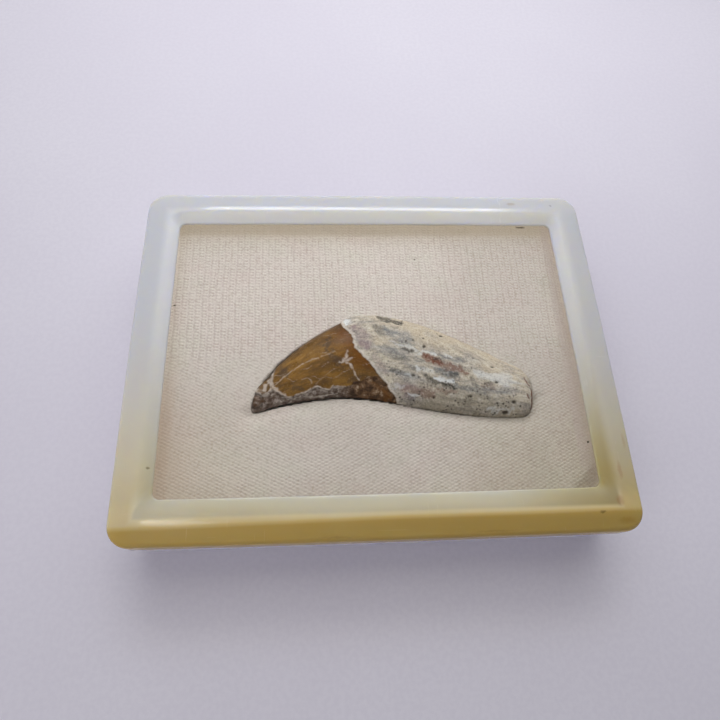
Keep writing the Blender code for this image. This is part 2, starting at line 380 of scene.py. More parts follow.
def make_floor():
    n = 40
    line = np.sign(np.linspace(-1, 1, n + 1)) * np.abs(np.linspace(-1, 1, n + 1)) ** 2.0 * 1600.0
    verts = [(x, y, 0.0) for y in line for x in line]
    faces = [(j * (n + 1) + i, j * (n + 1) + i + 1, (j + 1) * (n + 1) + i + 1, (j + 1) * (n + 1) + i)
             for j in range(n) for i in range(n)]
    ob = make_object("floor", verts, faces, body=None)
    g = Graph("floor_paper")
    tone = g.noise(scale=6.0, detail=4.0)
    fine = g.noise(scale=900.0, detail=3.0)
    colour = g.mix(g.span(tone, 0.3, 0.7), srgb(217, 213, 223), srgb(223, 220, 228))
    colour = g.mix(g.span(fine, 0.35, 0.65, 0.0, 0.25), colour, srgb(208, 204, 215))
    g.surface(Base_Color=colour, Roughness=0.85, Normal=g.bump(fine, 0.25, 0.00008))
    ob.data.materials.append(g.mat)


# ------------------------------------------------------------------------- lid
def corner_radius(inset):
    t = min(max(inset / WINDOW, 0.0), 1.0)
    return 4.6 + (1.5 - 4.6) * t ** 0.75


CORNER, SIDE = 18, 40


def depth_inset(inset):
    """The border is a little wider at the front and back, inside the ridge."""
    return inset + (WINDOW_DEPTH - WINDOW) * min(max((inset - RIDGE) / (WINDOW - RIDGE), 0.0), 1.0)


def ring(inset, z, radius=None, bow=0.0):
    """Rounded rectangle, anticlockwise, its sides slightly bowed out."""
    r = corner_radius(inset) if radius is None else radius
    hx, hy = BOX_X / 2 - inset, BOX_Y / 2 - depth_inset(inset)
    pts = []
    for sx, sy, start, ends in ((1, 1, 0, ((hx - r, hy), (-(hx - r), hy))),
                                (-1, 1, 90, ((-hx, hy - r), (-hx, -(hy - r)))),
                                (-1, -1, 180, ((-(hx - r), -hy), (hx - r, -hy))),
                                (1, -1, 270, ((hx, -(hy - r)), (hx, hy - r)))):
        for k in range(CORNER + 1):
            a = math.radians(start + 90.0 * k / CORNER)
            pts.append((sx * (hx - r) + r * math.cos(a), sy * (hy - r) + r * math.sin(a), z))
        for k in range(1, SIDE):
            t = k / SIDE
            (x0, y0), (x1, y1) = ends
            x, y = x0 + (x1 - x0) * t, y0 + (y1 - y0) * t
            out = bow * 4.0 * t * (1.0 - t)
            if abs(x0 - x1) > abs(y0 - y1):
                y += math.copysign(out, y)
            else:
                x += math.copysign(out, x)
            pts.append((x, y, z))
    return pts


def rounded(points, radii, steps=4, closed=True):
    """A polyline with its corners eased by these radii."""
    out, n = [], len(points)
    for k, (p, r) in enumerate(zip(points, radii)):
        if r <= 0 or (not closed and k in (0, n - 1)):
            out.append(tuple(p))
            continue
        a, b, p = np.array(points[k - 1]), np.array(points[(k + 1) % n]), np.array(p)
        da, db = a - p, b - p
        la, lb = np.linalg.norm(da), np.linalg.norm(db)
        ra, rb = min(r, la * 0.45), min(r, lb * 0.45)
        s, e = p + da / la * ra, p + db / lb * rb
        for i in range(steps + 1):
            t = i / steps
            out.append(tuple((1 - t) ** 2 * s + 2 * t * (1 - t) * p + t * t * e))
    return out


def sweep(profile, loop, radius=None, bow=0.0):
    """Rings along a section; loop joins the last to the first."""
    verts, faces = [], []
    for k, item in enumerate(profile):
        inset, z = item
        verts += ring(inset, z, radius, bow)
    n = 4 * (CORNER + SIDE)
    m = len(profile)
    for i in range(m if loop else m - 1):
        j = (i + 1) % m
        for k in range(n):
            q = (k + 1) % n
            faces.append((i * n + k, i * n + q, j * n + q, j * n + k))
    return verts, faces, n


def lid_section():
    pts = [(0.25, SKIRT), (0.0, SKIRT + 0.25), (0.06, 16.4)]
    rad = [0.12, 0.15, 0.0]
    steps = 14
    for k in range(steps + 1):
        a = math.radians(78.0 * k / steps)
        pts.append((0.1 + 1.2 * (1.0 - math.cos(a)), SHOULDER + 1.2 * math.sin(a)))
        rad.append(0.0)
    for inset, z, r in ((1.5, 19.46, 0), (2.4, 19.62, 0.5), (3.6, 19.83, 0.5), (4.1, 19.905, 0.2), (4.5, 19.95, 0.2),
                        (4.95, 19.985, 0.2), (RIDGE, 20.0, 0.2), (5.75, 19.98, 0.2), (6.1, 19.91, 0.2), (6.6, 19.76, 0.3),
                        (7.1, 19.6, 0.3), (7.6, 19.44, 0.2), (WINDOW - 0.12, 19.31, 0.12), (WINDOW, 19.1, 0.12), (WINDOW, LIP_UNDER, 0.1),
                        (5.0, LIP_UNDER, 0.1), (5.0, 17.3, 0.05), (5.6, 17.15, 0.15), (5.6, 16.75, 0.15),
                        (5.3, 16.6, 0.05), (1.8, 16.6, 0.1), (1.5, 16.3, 0.1), (1.45, SKIRT, 0.1)):
        pts.append((inset, z))
        rad.append(r)
    return rounded(pts, rad)


# small marks on the lid: place, half sizes, strength and colour
LID_MARKS = (
    ((35.9, 37.9, 19.7), (1.5, 0.7, 1.5), 0.35, (150, 120, 84)),
    ((45.8, 37.4, 19.8), (0.5, 0.45, 1.0), 0.50, (96, 84, 66)),
    ((-45.3, -25.4, 19.7), (0.5, 0.4, 1.0), 0.65, (104, 90, 60)),
    ((43.8, -36.3, 19.8), (0.9, 0.40, 1.0), 0.60, (96, 82, 46)),
    ((49.0, -28.2, 19.8), (0.7, 2.6, 1.5), 0.30, (160, 112, 76)),
    ((47.7, -34.2, 19.9), (1.2, 1.4, 1.5), 0.35, (158, 106, 70)),
    ((48.5, -38.0, 19.2), (2.6, 1.0, 1.6), 0.45, (150, 116, 46)),
    ((51.3, -22.1, 19.3), (0.6, 2.2, 1.5), 0.25, (164, 122, 90)),
    ((-8.0, -39.4, 18.8), (9.0, 0.35, 1.5), 0.30, (126, 100, 44)),
    ((22.0, -39.2, 18.9), (7.0, 0.30, 1.5), 0.35, (122, 96, 42)),
)


def plastic(name, aged=True):
    """Milky plastic, yellowed over the years; on the lid the yellow is painted deeper where the light passes the
    longest way, and the border's light and shade are painted into its colour.
    """
    g = Graph(name)
    cloud = g.noise(scale=45.0, detail=4.0)
    fine = g.noise(scale=700.0, detail=4.0)
    if aged:
        # real yellowing of the plastic together with painted light and shade of the border
        yellowing_and_painted_light = g.attr("yellowing_and_painted_light")
        yellowing_and_painted_light = g.math("ADD", yellowing_and_painted_light, g.math("MULTIPLY", g.math("SUBTRACT", cloud, 0.5), 0.16), clamp=True)
        colour = g.ramp(yellowing_and_painted_light, [(0.0, srgb(228, 228, 227)), (0.25, srgb(225, 221, 210)), (0.5, srgb(218, 210, 184)),
                              (0.75, srgb(203, 184, 128)), (1.0, srgb(184, 158, 88))])
        # painted shade: the colour darkened and turned bluish by this mask
        colour = g.mix(g.math("MULTIPLY", g.attr("painted_shade"), 0.66), colour, g.mix(1.0, colour, (0.64, 0.67, 0.745), "MULTIPLY"))
        burnt = g.math("MULTIPLY", g.span(yellowing_and_painted_light, 0.80, 1.0), g.span(g.noise(g.stretch((22.0, 90.0, 60.0)), 1.0, 4.0), 0.45, 0.66))
        colour = g.mix(g.math("MULTIPLY", burnt, 0.22), colour, srgb(168, 138, 66))
        warped = g.tree.nodes.new("ShaderNodeVectorMath")
        warped.operation = "MULTIPLY_ADD"
        ragged = g.tree.nodes.new("ShaderNodeTexNoise")
        g.put(ragged.inputs["Vector"], g.place())
        ragged.inputs["Scale"].default_value = 1500.0
        g.tree.links.new(ragged.outputs["Color"], warped.inputs[0])
        warped.inputs[1].default_value = (0.0006, 0.0006, 0.0006)
        g.put(warped.inputs[2], g.place())
        place = warped.outputs[0]
        for at, size, strength, stain in LID_MARKS:
            colour = g.mix(g.math("MULTIPLY", g.spot(at, size, place), strength), colour, srgb(*stain))
    else:
        colour = g.mix(g.span(cloud, 0.3, 0.7), srgb(240, 235, 246), srgb(247, 243, 252))
    # faint scratches along and across, from handling
    s1 = g.noise(g.stretch((40.0, 2500.0, 900.0), turn=(0, 0, 0.35)), scale=1.0, detail=2.0)
    s2 = g.noise(g.stretch((2200.0, 50.0, 900.0), turn=(0, 0, -0.2)), scale=1.0, detail=2.0)
    scratch = g.math("MAXIMUM", g.span(s1, 0.66, 0.74), g.span(s2, 0.67, 0.75))
    smudge = g.noise(scale=120.0, detail=3.0, distort=0.8)
    rough = g.math("ADD", g.span(smudge, 0.35, 0.7, 0.11, 0.20), g.math("MULTIPLY", scratch, 0.15))
    wave = g.noise(scale=260.0, detail=2.0)
    height = g.math("ADD", g.math("MULTIPLY", wave, 0.6), g.math("MULTIPLY", scratch, -0.3))
    n = g.surface(Base_Color=colour, Roughness=rough, Subsurface_Weight=1.0, Subsurface_Radius=(1.0, 0.85, 0.5),
                  Subsurface_Scale=0.004, IOR=1.49, Normal=g.bump(height, 0.25, 0.00006))
    if aged:
        # the milky border lets about half of the lamps' light through to the pad
        clear = g.tree.nodes.new("ShaderNodeBsdfTransparent")
        clear.inputs[0].default_value = (0.86, 0.84, 0.79, 1.0)
        path = g.tree.nodes.new("ShaderNodeLightPath")
        both = g.tree.nodes.new("ShaderNodeMixShader")
        g.put(both.inputs[0], path.outputs["Is Shadow Ray"])
        g.tree.links.new(n.outputs[0], both.inputs[1])
        g.tree.links.new(clear.outputs[0], both.inputs[2])
        g.tree.links.new(both.outputs[0], g.out.inputs["Surface"])
    return g.mat


def make_lid():
    verts, faces, n = sweep(lid_section(), True, bow=0.16)
    v = np.array(verts)
    x, y, z = v.T
    edge_x, edge_y = BOX_X / 2 - np.abs(x), BOX_Y / 2 - np.abs(y)
    inset = np.minimum(edge_x, edge_y)
    ahead = smooth(22.0, -38.0, y)
    front_edge = BOX_Y / 2 + y
    shift = 1.1 * smooth(-44.0, -46.0, x) * smooth(0.0, -30.0, y) * smooth(6.0, 9.0, front_edge)
    soft = smooth(7.0, 10.0, front_edge)
    outer = smooth(5.6 + 0.9 * soft, 4.8 - 0.8 * soft, inset - shift)
    right = smooth(20, 50, x)
    # Painted light and shade on top of the real yellowing: deeper ochre towards the front, on the right and on the
    # front's outer roll, paler on the front's inner bevel and at the foot of the front skirt.
    yellowing_and_painted_light = 0.68 * smooth(18.0, -42.0, y) ** 1.25 + right * (0.09 + 0.14 * (1 - outer) * ahead)
    yellowing_and_painted_light = yellowing_and_painted_light + 0.17 * smooth(30.5, 32.5, y) * (1 - outer) * smooth(47.0, 43.0, np.abs(x))
    yellowing_and_painted_light = yellowing_and_painted_light + 0.42 * smooth(4.8, 3.1, front_edge + 0.6 * smooth(5.0, -40.0, x))
    yellowing_and_painted_light = yellowing_and_painted_light - (0.13 * smooth(3.9, 5.6, inset) + 0.04 * smooth(6.4, 8.2, inset)) * smooth(10.5, 8.0, front_edge)
    roll = smooth(4.4, 2.6, front_edge)
    yellowing_and_painted_light = yellowing_and_painted_light - 0.30 * smooth(17.0, 14.6, z) * roll
    yellowing_and_painted_light = np.clip(yellowing_and_painted_light, 0.0, 1.0)
    # painted shade over the border: the outer band at the back and sides, the inner bevel more towards the front and
    # the right, the lower outer slopes, and the front's outer roll towards the middle and right
    painted_shade = outer * (1 - ahead ** 1.5) + (1 - outer) * (0.30 + 0.55 * ahead + 0.35 * right * (1 + ahead))
    painted_shade = painted_shade + (0.25 + 0.45 * right) * outer * ahead * smooth(6.0, 9.0, front_edge)
    painted_shade = painted_shade + 0.55 * smooth(19.2, 17.5, z) * outer * (1 - roll)
    painted_shade = painted_shade + roll * (0.25 * smooth(-22.0, 5.0, x) + 0.30 * smooth(22.0, 50.0, x)) * smooth(14.6, 16.6, z)
    painted_shade = np.clip(painted_shade, 0, 1.5)
    ob = make_object("lid_border", v, faces, {"yellowing_and_painted_light": yellowing_and_painted_light, "painted_shade": painted_shade}, sharp=40)
    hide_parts("lid_frame")
    ob.data.materials.append(plastic("aged_milky_plastic_with_painted_shade"))


def make_tray():
    section = [(0.95, 0.0), (0.45, 0.5), (0.15, 13.5), (0.35, 13.7), (1.9, 13.7), (1.9, 16.0), (2.2, 16.3),
               (3.1, 16.3), (3.4, 16.0), (3.4, 2.6), (4.2, 1.8)]
    section = rounded(section, [0.3, 0.3, 0.1, 0.1, 0.15, 0, 0.12, 0.12, 0, 0.4, 0], closed=False)
    verts, faces, n = sweep(section, False, bow=0.12)
    m = len(section)
    faces.append(tuple(reversed(range(n))))
    faces.append(tuple((m - 1) * n + k for k in range(n)))
    ob = make_object("tray_base", verts, faces, sharp=40)
    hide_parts("tray")
    ob.data.materials.append(plastic("pale_tray_plastic", aged=False))


def make_pane():
    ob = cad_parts["window_pane"]
    g = Graph("clear_window_plastic")
    smear = g.noise(scale=70.0, detail=4.0, distort=1.2)
    n = g.node("ShaderNodeBsdfPrincipled")
    g.put(n.inputs["Base Color"], srgb(250, 250, 250))
    g.put(n.inputs["Roughness"], g.span(smear, 0.5, 0.8, 0.0, 0.05))
    g.put(n.inputs["IOR"], 1.49)
    g.put(n.inputs["Transmission Weight"], 1.0)
    clear = g.tree.nodes.new("ShaderNodeBsdfTransparent")
    clear.inputs[0].default_value = (0.975, 0.975, 0.97, 1.0)
    path = g.tree.nodes.new("ShaderNodeLightPath")
    both = g.tree.nodes.new("ShaderNodeMixShader")
    g.put(both.inputs[0], path.outputs["Is Shadow Ray"])
    g.tree.links.new(n.outputs[0], both.inputs[1])
    g.tree.links.new(clear.outputs[0], both.inputs[2])
    g.tree.links.new(both.outputs[0], g.out.inputs["Surface"])
    ob.data.materials.clear()
    ob.data.materials.append(g.mat)


# plan place, half length, half width and turn of the loose dark flakes on the window
FLAKES = ((37.4, 31.45, 1.25, 0.18, 0.02), (-44.0, 10.5, 0.28, 0.18, 0.6), (43.9, -22.3, 0.30, 0.22, 1.1),
          (10.5, 22.3, 0.20, 0.15, 0.3))


def make_dust():
    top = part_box("window_pane")[1][2] / MM
    verts, faces = [], []
    for k, (cx, cy, a, b, turn) in enumerate(FLAKES):
        sides = 11
        ct, st = math.cos(turn), math.sin(turn)
        start = len(verts)
        for level, shrink in ((0.0, 1.0), (0.05, 0.92), (0.09, 0.5)):
            for i in range(sides):
                w = 2 * math.pi * i / sides
                r = (0.82 + 0.36 * float(hashed(np.array(i), np.array(k), np.array(3), 91))) * shrink
                u, v = a * r * math.cos(w), b * r * math.sin(w)
                verts.append((cx + u * ct - v * st, cy + u * st + v * ct, top + 0.005 + level))
        for ring_k in (0, 1):
            for i in range(sides):
                j = (i + 1) % sides
                p, q = start + ring_k * sides, start + (ring_k + 1) * sides
                faces.append((p + i, p + j, q + j, q + i))
        faces.append(tuple(start + 2 * sides + i for i in range(sides)))
        faces.append(tuple(start + i for i in reversed(range(sides))))
    ob = make_object("dust_flakes", verts, faces)
    g = Graph("dark_dust")
    fine = g.noise(scale=5000.0, detail=3.0)
    g.surface(Base_Color=g.mix(g.span(fine, 0.35, 0.65), srgb(58, 54, 44), srgb(92, 84, 66)), Roughness=0.8,
              Normal=g.bump(fine, 0.6, 0.00005))
    ob.data.materials.append(g.mat)


# ----------------------------------------------------------------------- tooth
BACK_CROWN = ((-27.0, -11.5), (-23.0, 0.5), (-11.0, 6.0), (-5.0, 10.0))
BACK_ROOT = ((-5.0, 10.0), (10.0, 13.0), (31.0, -4.0), (35.5, -5.0))
FRONT_EDGE = ((-27.0, -13.5), (2.0, -5.0), (5.0, -16.0), (35.5, -15.0))
TIP_X, ROOT_X = -27.0, 35.3
MIDPLANE, RISE, SINK = 13.1, 4.2, 4.8


def bezier(handles, count=300):
    t = np.linspace(0.0, 1.0, count)[:, None]
    p = np.array(handles)
    return (1 - t) ** 3 * p[0] + 3 * (1 - t) ** 2 * t * p[1] + 3 * (1 - t) * t ** 2 * p[2] + t ** 3 * p[3]


BACK_LINE = np.vstack((bezier(BACK_CROWN), bezier(BACK_ROOT)[1:]))
FRONT_LINE = bezier(FRONT_EDGE)


def tooth_section(x):
    """Middle, half width, rise and sink of the tooth at each x."""
    x = np.asarray(x, float)
    back = np.interp(x, BACK_LINE[:, 0], BACK_LINE[:, 1])
    front = np.interp(x, FRONT_LINE[:, 0], FRONT_LINE[:, 1])
    u = np.clip((TIP_X + 1.3 - x) / 1.3, 0.0, 1.0)
    v = np.clip((x - ROOT_X + 3.6) / 3.6, 0.0, 1.0)
    close = np.sqrt(1.0 - u ** 2) * (1.0 - v ** 2.8) ** (1.0 / 2.8)
    bulk = 0.30 + 0.70 * np.sin(0.5 * math.pi * np.clip((x - TIP_X) / 26.0, 0.0, 1.0)) ** 0.8
    bulk = bulk * np.where(x > 8.0, 1.0 - 0.16 * (np.clip(x - 8.0, 0, None) / 27.0) ** 1.3, 1.0)
    return 0.5 * (back + front), 0.5 * (back - front) * close, RISE * bulk * close, SINK * bulk * close


# where the enamel ends and the root begins, from the back edge to the front edge
JUNCTION = ((-7.5, 12.0), (-7.4, 8.8), (-7.1, 5.8), (-5.2, 4.1), (-4.6, 2.0), (-4.2, 0.1), (-3.1, -1.2), (-1.1, -3.6),
            (0.3, -5.0), (1.0, -6.2), (2.4, -7.8), (3.3, -9.5), (4.3, -10.6), (4.6, -12.0), (4.8, -14.0))
# below this line the enamel has flaked off the front of the crown
CHIP = ((-27.5, -8.6), (-24.4, -9.6), (-22.4, -8.4), (-20.6, -9.4), (-18.8, -10.3), (-16.5, -9.6), (-15.1, -9.2),
        (-13.7, -8.4), (-12.7, -8.1), (-11.6, -8.5), (-9.9, -8.8), (-9.2, -8.0), (-8.4, -8.2), (-5.7, -8.2),
        (-4.6, -7.4), (-3.0, -7.2), (-1.6, -6.3), (1.4, -6.2))
# the open cracks, each with its width and how white it is
CRACKS = (
    (((-22.2, -8.0), (-20.7, -6.7), (-18.6, -4.9), (-16.2, -3.4), (-13.6, -2.1), (-12.4, -1.9)), 0.22, 0.60),
    (((-11.6, -1.5), (-10.2, -1.0), (-8.7, -0.6)), 0.20, 0.45),
    (((-22.5, -4.5), (-22.6, -6.6), (-22.1, -8.1), (-20.7, -9.3), (-19.1, -10.2), (-18.2, -10.5)), 0.50, 1.0),
    (((-15.9, -6.7), (-14.7, -6.3), (-14.0, -6.8), (-13.7, -7.5)), 0.20, 0.55),
    (((-7.8, -3.1), (-6.9, -2.8), (-6.2, -2.1), (-6.0, -0.7)), 0.42, 1.0),
    (((-7.4, -3.2), (-6.0, -2.6), (-5.0, -2.2)), 0.44, 1.0),
    (((-6.2, -3.3), (-5.2, -3.8), (-4.8, -4.9), (-4.1, -6.3), (-3.4, -7.2)), 0.30, 0.9),
    (((-17.7, 3.3), (-15.3, 4.7), (-12.7, 6.1)), 0.14, 0.6),
    (((-18.8, -11.3), (-17.3, -10.5), (-15.9, -10.1), (-13.1, -10.3), (-10.0, -9.9), (-8.3, -9.8)), 0.22, 1.0),
)
# plan place, radius and depth of the pits in the root
PITS = ((6.8, 3.5, 0.16), (8.4, 3.6, 0.14), (7.2, 1.7, 0.17), (8.8, 1.9, 0.22), (10.5, 3.3, 0.17), (11.2, 2.5, 0.19),
        (11.2, 0.4, 0.37), (14.6, 4.0, 0.19), (15.5, 3.4, 0.27), (8.2, -0.8, 0.20), (7.2, -0.5, 0.14), (26.2, -4.6, 0.26),
        (22.1, -2.4, 0.19), (21.3, -4.9, 0.19), (26.6, -8.3, 0.26), (8.3, -6.4, 0.44), (9.5, -6.8, 0.20), (20.7, -11.2, 0.24),
        (26.4, -12.7, 0.24), (27.8, -12.9, 0.26), (30.1, -12.6, 0.29), (28.9, -12.6, 0.16), (26.1, -14.5, 0.24),
        (28.4, -14.5, 0.40), (31.5, -13.4, 0.20), (24.3, -11.8, 0.16), (31.7, -8.3, 0.12), (17.4, 2.0, 0.12), (12.6, -11.2, 0.22),
        (19.5, -12.2, 0.17), (16.9, -12.8, 0.16), (22.5, -13.1, 0.17), (5.3, -10.7, 0.14), (30.6, -11.1, 0.16))


def strokes(x, y, lines, warp=0.0, seed=5):
    """1 on the strokes, 0 off them; each is (points, half width, strength)."""
    if warp:
        x = x + warp * fractal(x * 0.9, y * 0.9, 0.0, seed, 3)
        y = y + warp * fractal(x * 0.9, y * 0.9, 9.0, seed + 9, 3)
    out = np.zeros(x.shape)
    for k, (points, wide, strength) in enumerate(lines):
        d, along = segment_distance(x, y, points)
        w = wide * (0.55 + 0.9 * value_noise(along * 4.0, k * 3.0, 0.5, seed + 3)) * (1.0 - 0.45 * (2.0 * along - 1.0) ** 4)
        out = np.maximum(out, strength * smooth(w * 1.25, w * 0.25, d))
    return out


def make_tooth():
    stations, upper, lower = 430, 150, 52
    t = np.arange(1, stations) / stations
    s = 0.5 * (1.0 - np.cos(math.pi * t)) * 0.35 + 0.65 * t
    xs = TIP_X + (ROOT_X - TIP_X) * s
    mid, half, rise, sink = tooth_section(xs)
    a = np.concatenate([math.pi * np.arange(upper) / upper, math.pi + math.pi * np.arange(lower) / lower])
    sides = len(a)
    c, sn = np.cos(a), np.sin(a)
    x = np.repeat(xs[:, None], sides, 1)
    across = np.sign(c) * np.abs(c) ** 0.92
    y = mid[:, None] + half[:, None] * across[None, :]
    z = MIDPLANE + np.where(sn > 0, rise[:, None], sink[:, None]) * sn[None, :]
    # outward normals of the smooth form
    p = np.stack([x, y, z], -1)
    du = np.gradient(p, axis=0)
    dv = np.roll(p, -1, 1) - np.roll(p, 1, 1)
    nrm = np.cross(dv, du)
    nrm /= np.maximum(np.linalg.norm(nrm, axis=-1, keepdims=True), 1e-9)
    outward = np.sum(nrm * (p - np.stack([x, np.repeat(mid[:, None], sides, 1), np.full_like(x, MIDPLANE)], -1)), -1)
    nrm *= np.where(outward.mean() < 0, -1.0, 1.0)

    # ---- what is where
    back = np.interp(x, BACK_LINE[:, 0], BACK_LINE[:, 1])
    front = np.interp(x, FRONT_LINE[:, 0], FRONT_LINE[:, 1])
    n = (y - 0.5 * (back + front)) / (0.5 * (back - front))          # -1 front edge, 1 back edge
    flow_u, flow_v = x + 2.2 * n, n * 10.0
    jag = 0.28 * fractal(y * 0.9, x * 0.15, z * 0.3, 21, 3) + 0.14 * fractal(y * 3.4, x, z, 22, 2)
    jy, jx = np.array([q[1] for q in JUNCTION])[::-1], np.array([q[0] for q in JUNCTION])[::-1]
    past = (x - np.interp(y, jy, jx)) * 0.82 + jag                     # past the junction, on the root
    crown = smooth(0.09, -0.09, past)
    cy = np.interp(x, [q[0] for q in CHIP], [q[1] for q in CHIP])
    under = cy - y + 0.22 * fractal(x * 1.3, y * 1.3, z, 31, 3) * smooth(-9.5, -7.5, x) + 0.12 * fractal(x * 3.1, y * 3.1, z, 32, 2)
    low = smooth(-0.10, 0.12, under) * crown
    nub = smooth(-23.3, -24.2, x + 0.35 * fractal(x, y, z, 33, 3)) * smooth(-8.7, -9.5, y)
    low = np.maximum(low, nub * 0.6)
    chipped = smooth(0.26, 0.05, np.abs(under - 0.02)) * crown * smooth(-4.0, -9.0, x) * smooth(0.30, 0.52, value_noise(x * 1.6, y * 1.6, z, 34) + 0.12)
    flakes = smooth(0.42, 0.62, value_noise(x * 1.9, y * 2.6, z * 2, 35)) * low * smooth(-5.0, -9.0, x) * smooth(1.6, 0.2, under)
    wx = x + 0.16 * fractal(x * 1.7, y * 1.7, z, 41, 3)
    wy = y + 0.16 * fractal(x * 1.7, y * 1.7, z + 5, 42, 3)
    crack = np.zeros_like(x)
    for line, wide, bright in CRACKS:
        d, along = segment_distance(wx, wy, line)
        ragged = wide * (0.40 + 1.25 * value_noise(x * 1.9, y * 1.9, z, 43) ** 1.5)
        crack = np.maximum(crack, bright * smooth(ragged, ragged * 0.25, d) * (0.45 + 0.55 * value_noise(x * 2.6, y * 2.6, z, 44)))
    crack *= crown * (z > MIDPLANE)
    hair = np.zeros_like(x)                                          # hairline cracks and scuffs in the enamel
    for k in range(9):
        y0 = -9.0 + 1.75 * k
        bend = y0 + 0.42 * (x + 16.0) + 0.9 * fractal(x * 0.35, k * 3.0, 0.0, 47, 2)
        hair = np.maximum(hair, smooth(0.085, 0.02, np.abs(y - bend)) * smooth(0.55, 0.8, value_noise(x * 0.55, k * 5.0, 2.0, 48)))
    crack = np.maximum(crack, 0.42 * hair * crown * (z > MIDPLANE))
    rim = smooth(0.0, 0.12, past) * smooth(0.85, 0.25, past + 0.35 * fractal(x * 1.4, y * 1.4, z, 45, 2))
    white = np.clip(np.maximum(np.maximum(crack, 0.85 * chipped), np.maximum(0.85 * rim, 0.55 * flakes)), 0, 1)
    fragment = smooth(-22.1, -22.7, x - 0.12 * (y + 7)) * smooth(-9.6, -8.9, y) * crown
    white = np.maximum(white, fragment * smooth(0.35, 0.65, value_noise(x * 1.5, y * 1.5, z, 46)) * 0.8)
    root = 1.0 - crown

    top = (z > MIDPLANE - 1.0)
    smoke = strokes(x, y, ((((1.2, 8.3), (3.8, 7.7), (6.4, 7.1)), 0.72, 0.80), (((1.3, 7.5), (6.4, 6.5)), 0.36, 1.0),
                           (((6.7, 8.1), (6.6, 6.2)), 0.34, 1.0), (((0.6, 5.6), (1.3, 4.2), (2.2, 3.2)), 1.05, 0.60),
                           (((4.5, 6.0), (5.3, 5.1)), 0.55, 0.45), (((-3.8, 4.3), (-3.0, 3.8)), 0.6, 0.45),
                           (((2.8, -2.0), (4.6, -2.3), (6.4, -2.5)), 0.75, 0.55), (((3.0, -4.9), (4.6, -5.1)), 0.7, 0.7),
                           (((5.6, -5.0), (8.8, -4.9)), 0.35, 0.40), (((3.7, -7.4), (7.7, -7.4)), 0.40, 0.35),
                           (((6.0, -0.3), (7.4, -0.6), (8.8, -0.9)), 0.34, 0.75), (((11.0, -6.7), (12.2, -7.5), (13.7, -8.2)), 0.85, 0.80),
                           (((13.6, -7.9), (15.5, -8.7), (17.5, -9.6)), 0.46, 0.95), (((12.8, -2.4), (14.8, -3.0)), 0.35, 0.7),
                           (((16.6, -6.1), (18.4, -7.0)), 0.85, 0.70), (((20.8, -7.2), (22.0, -9.5)), 0.45, 0.40),
                           (((6.9, -11.0), (9.1, -10.9)), 0.45, 0.35), (((18.1, -11.8), (21.2, -12.6)), 0.9, 0.30),
                           (((23.5, -8.9), (26.8, -8.4)), 0.6, 0.35), (((14.2, -13.6), (23.5, -14.5)), 0.7, 0.20)), 0.6) * top
    smudge = strokes(x, y, ((((-10.2, 3.6), (-10.3, 2.4)), 0.75, 1.0), (((-10.6, 1.5), (-9.9, 0.0)), 1.0, 0.75),
                            (((-9.6, -1.2), (-8.6, -2.6), (-7.4, -3.7)), 0.85, 0.80), (((-22.0, -2.1), (-19.1, -5.6)), 1.5, 0.75),
                            (((-14.3, 2.7), (-11.6, 3.1)), 1.2, 0.35), (((-17.9, -8.2), (-15.7, -8.9)), 0.9, 0.5),
                            (((-12.6, -7.3), (-9.4, -7.0)), 0.8, 0.45), (((-6.6, -7.3), (-3.5, -7.1)), 0.7, 0.5)), 0.8) * top * crown
    smoke = np.maximum(smoke, smudge)
    smoke = np.maximum(smoke, crown * smooth(0.48, 0.92, n + 0.12 * fractal(x * 0.5, y * 0.5, z, 51, 3)) * 0.8)
    smoke = np.maximum(smoke, 0.6 * fragment)
    rust = strokes(x, y, ((((10.8, -2.1), (12.6, -2.7), (14.8, -3.8)), 0.95, 1.0), (((14.6, -3.8), (17.2, -4.7), (20.4, -5.9)), 1.15, 0.75),
                          (((5.8, -9.3), (9.2, -9.7), (13.0, -10.3)), 0.80, 0.40), (((10.6, -10.1), (13.2, -10.7)), 0.80, 0.55),
                          (((13.1, -9.8), (17.4, -10.2)), 0.5, 0.45), (((22.6, -8.6), (26.1, -9.5)), 0.8, 0.3)), 0.6) * top * root
    glow = smooth(6.0, 0.4, -past + 1.3 * fractal(x * 0.4, y * 0.4, z * 0.4, 52, 3)) * crown * (1 - low) * smooth(-6.5, -3.0, y)
    rust_low = strokes(x, y, ((((1.4, -9.1), (3.7, -11.3)), 0.8, 1.0), (((-0.4, -7.4), (1.0, -8.9)), 0.5, 0.6),
                              (((-25.3, -10.3), (-24.8, -11.3)), 0.85, 1.0), (((-1.8, -10.6), (0.6, -11.2)), 0.5, 0.7),
                              (((-6.6, -10.8), (-4.0, -11.0)), 0.5, 0.5)), 0.6)
    rust = np.maximum(rust, np.maximum(glow * 0.9, rust_low * low))
    cool = strokes(x, y, ((((13.2, -4.9), (16.0, -5.8), (18.2, -6.8)), 1.0, 0.9), (((2.6, 5.1), (5.6, 3.2)), 1.5, 0.75),
                          (((5.4, 1.5), (9.0, 0.7)), 1.1, 0.55), (((1.2, 0.3), (6.8, -2.5)), 1.3, 0.45), (((8.5, -2.7), (10.5, -3.1)), 0.8, 0.5),
                          (((16.9, -8.7), (24.2, -11.2)), 1.2, 0.75), (((14.6, -1.9), (19.6, -3.2)), 0.7, 0.5),
                          (((20.0, -8.4), (28.5, -10.7)), 0.9, 0.40), (((2.6, -5.0), (8.6, -6.9)), 0.8, 0.5)), 0.7) * top * root
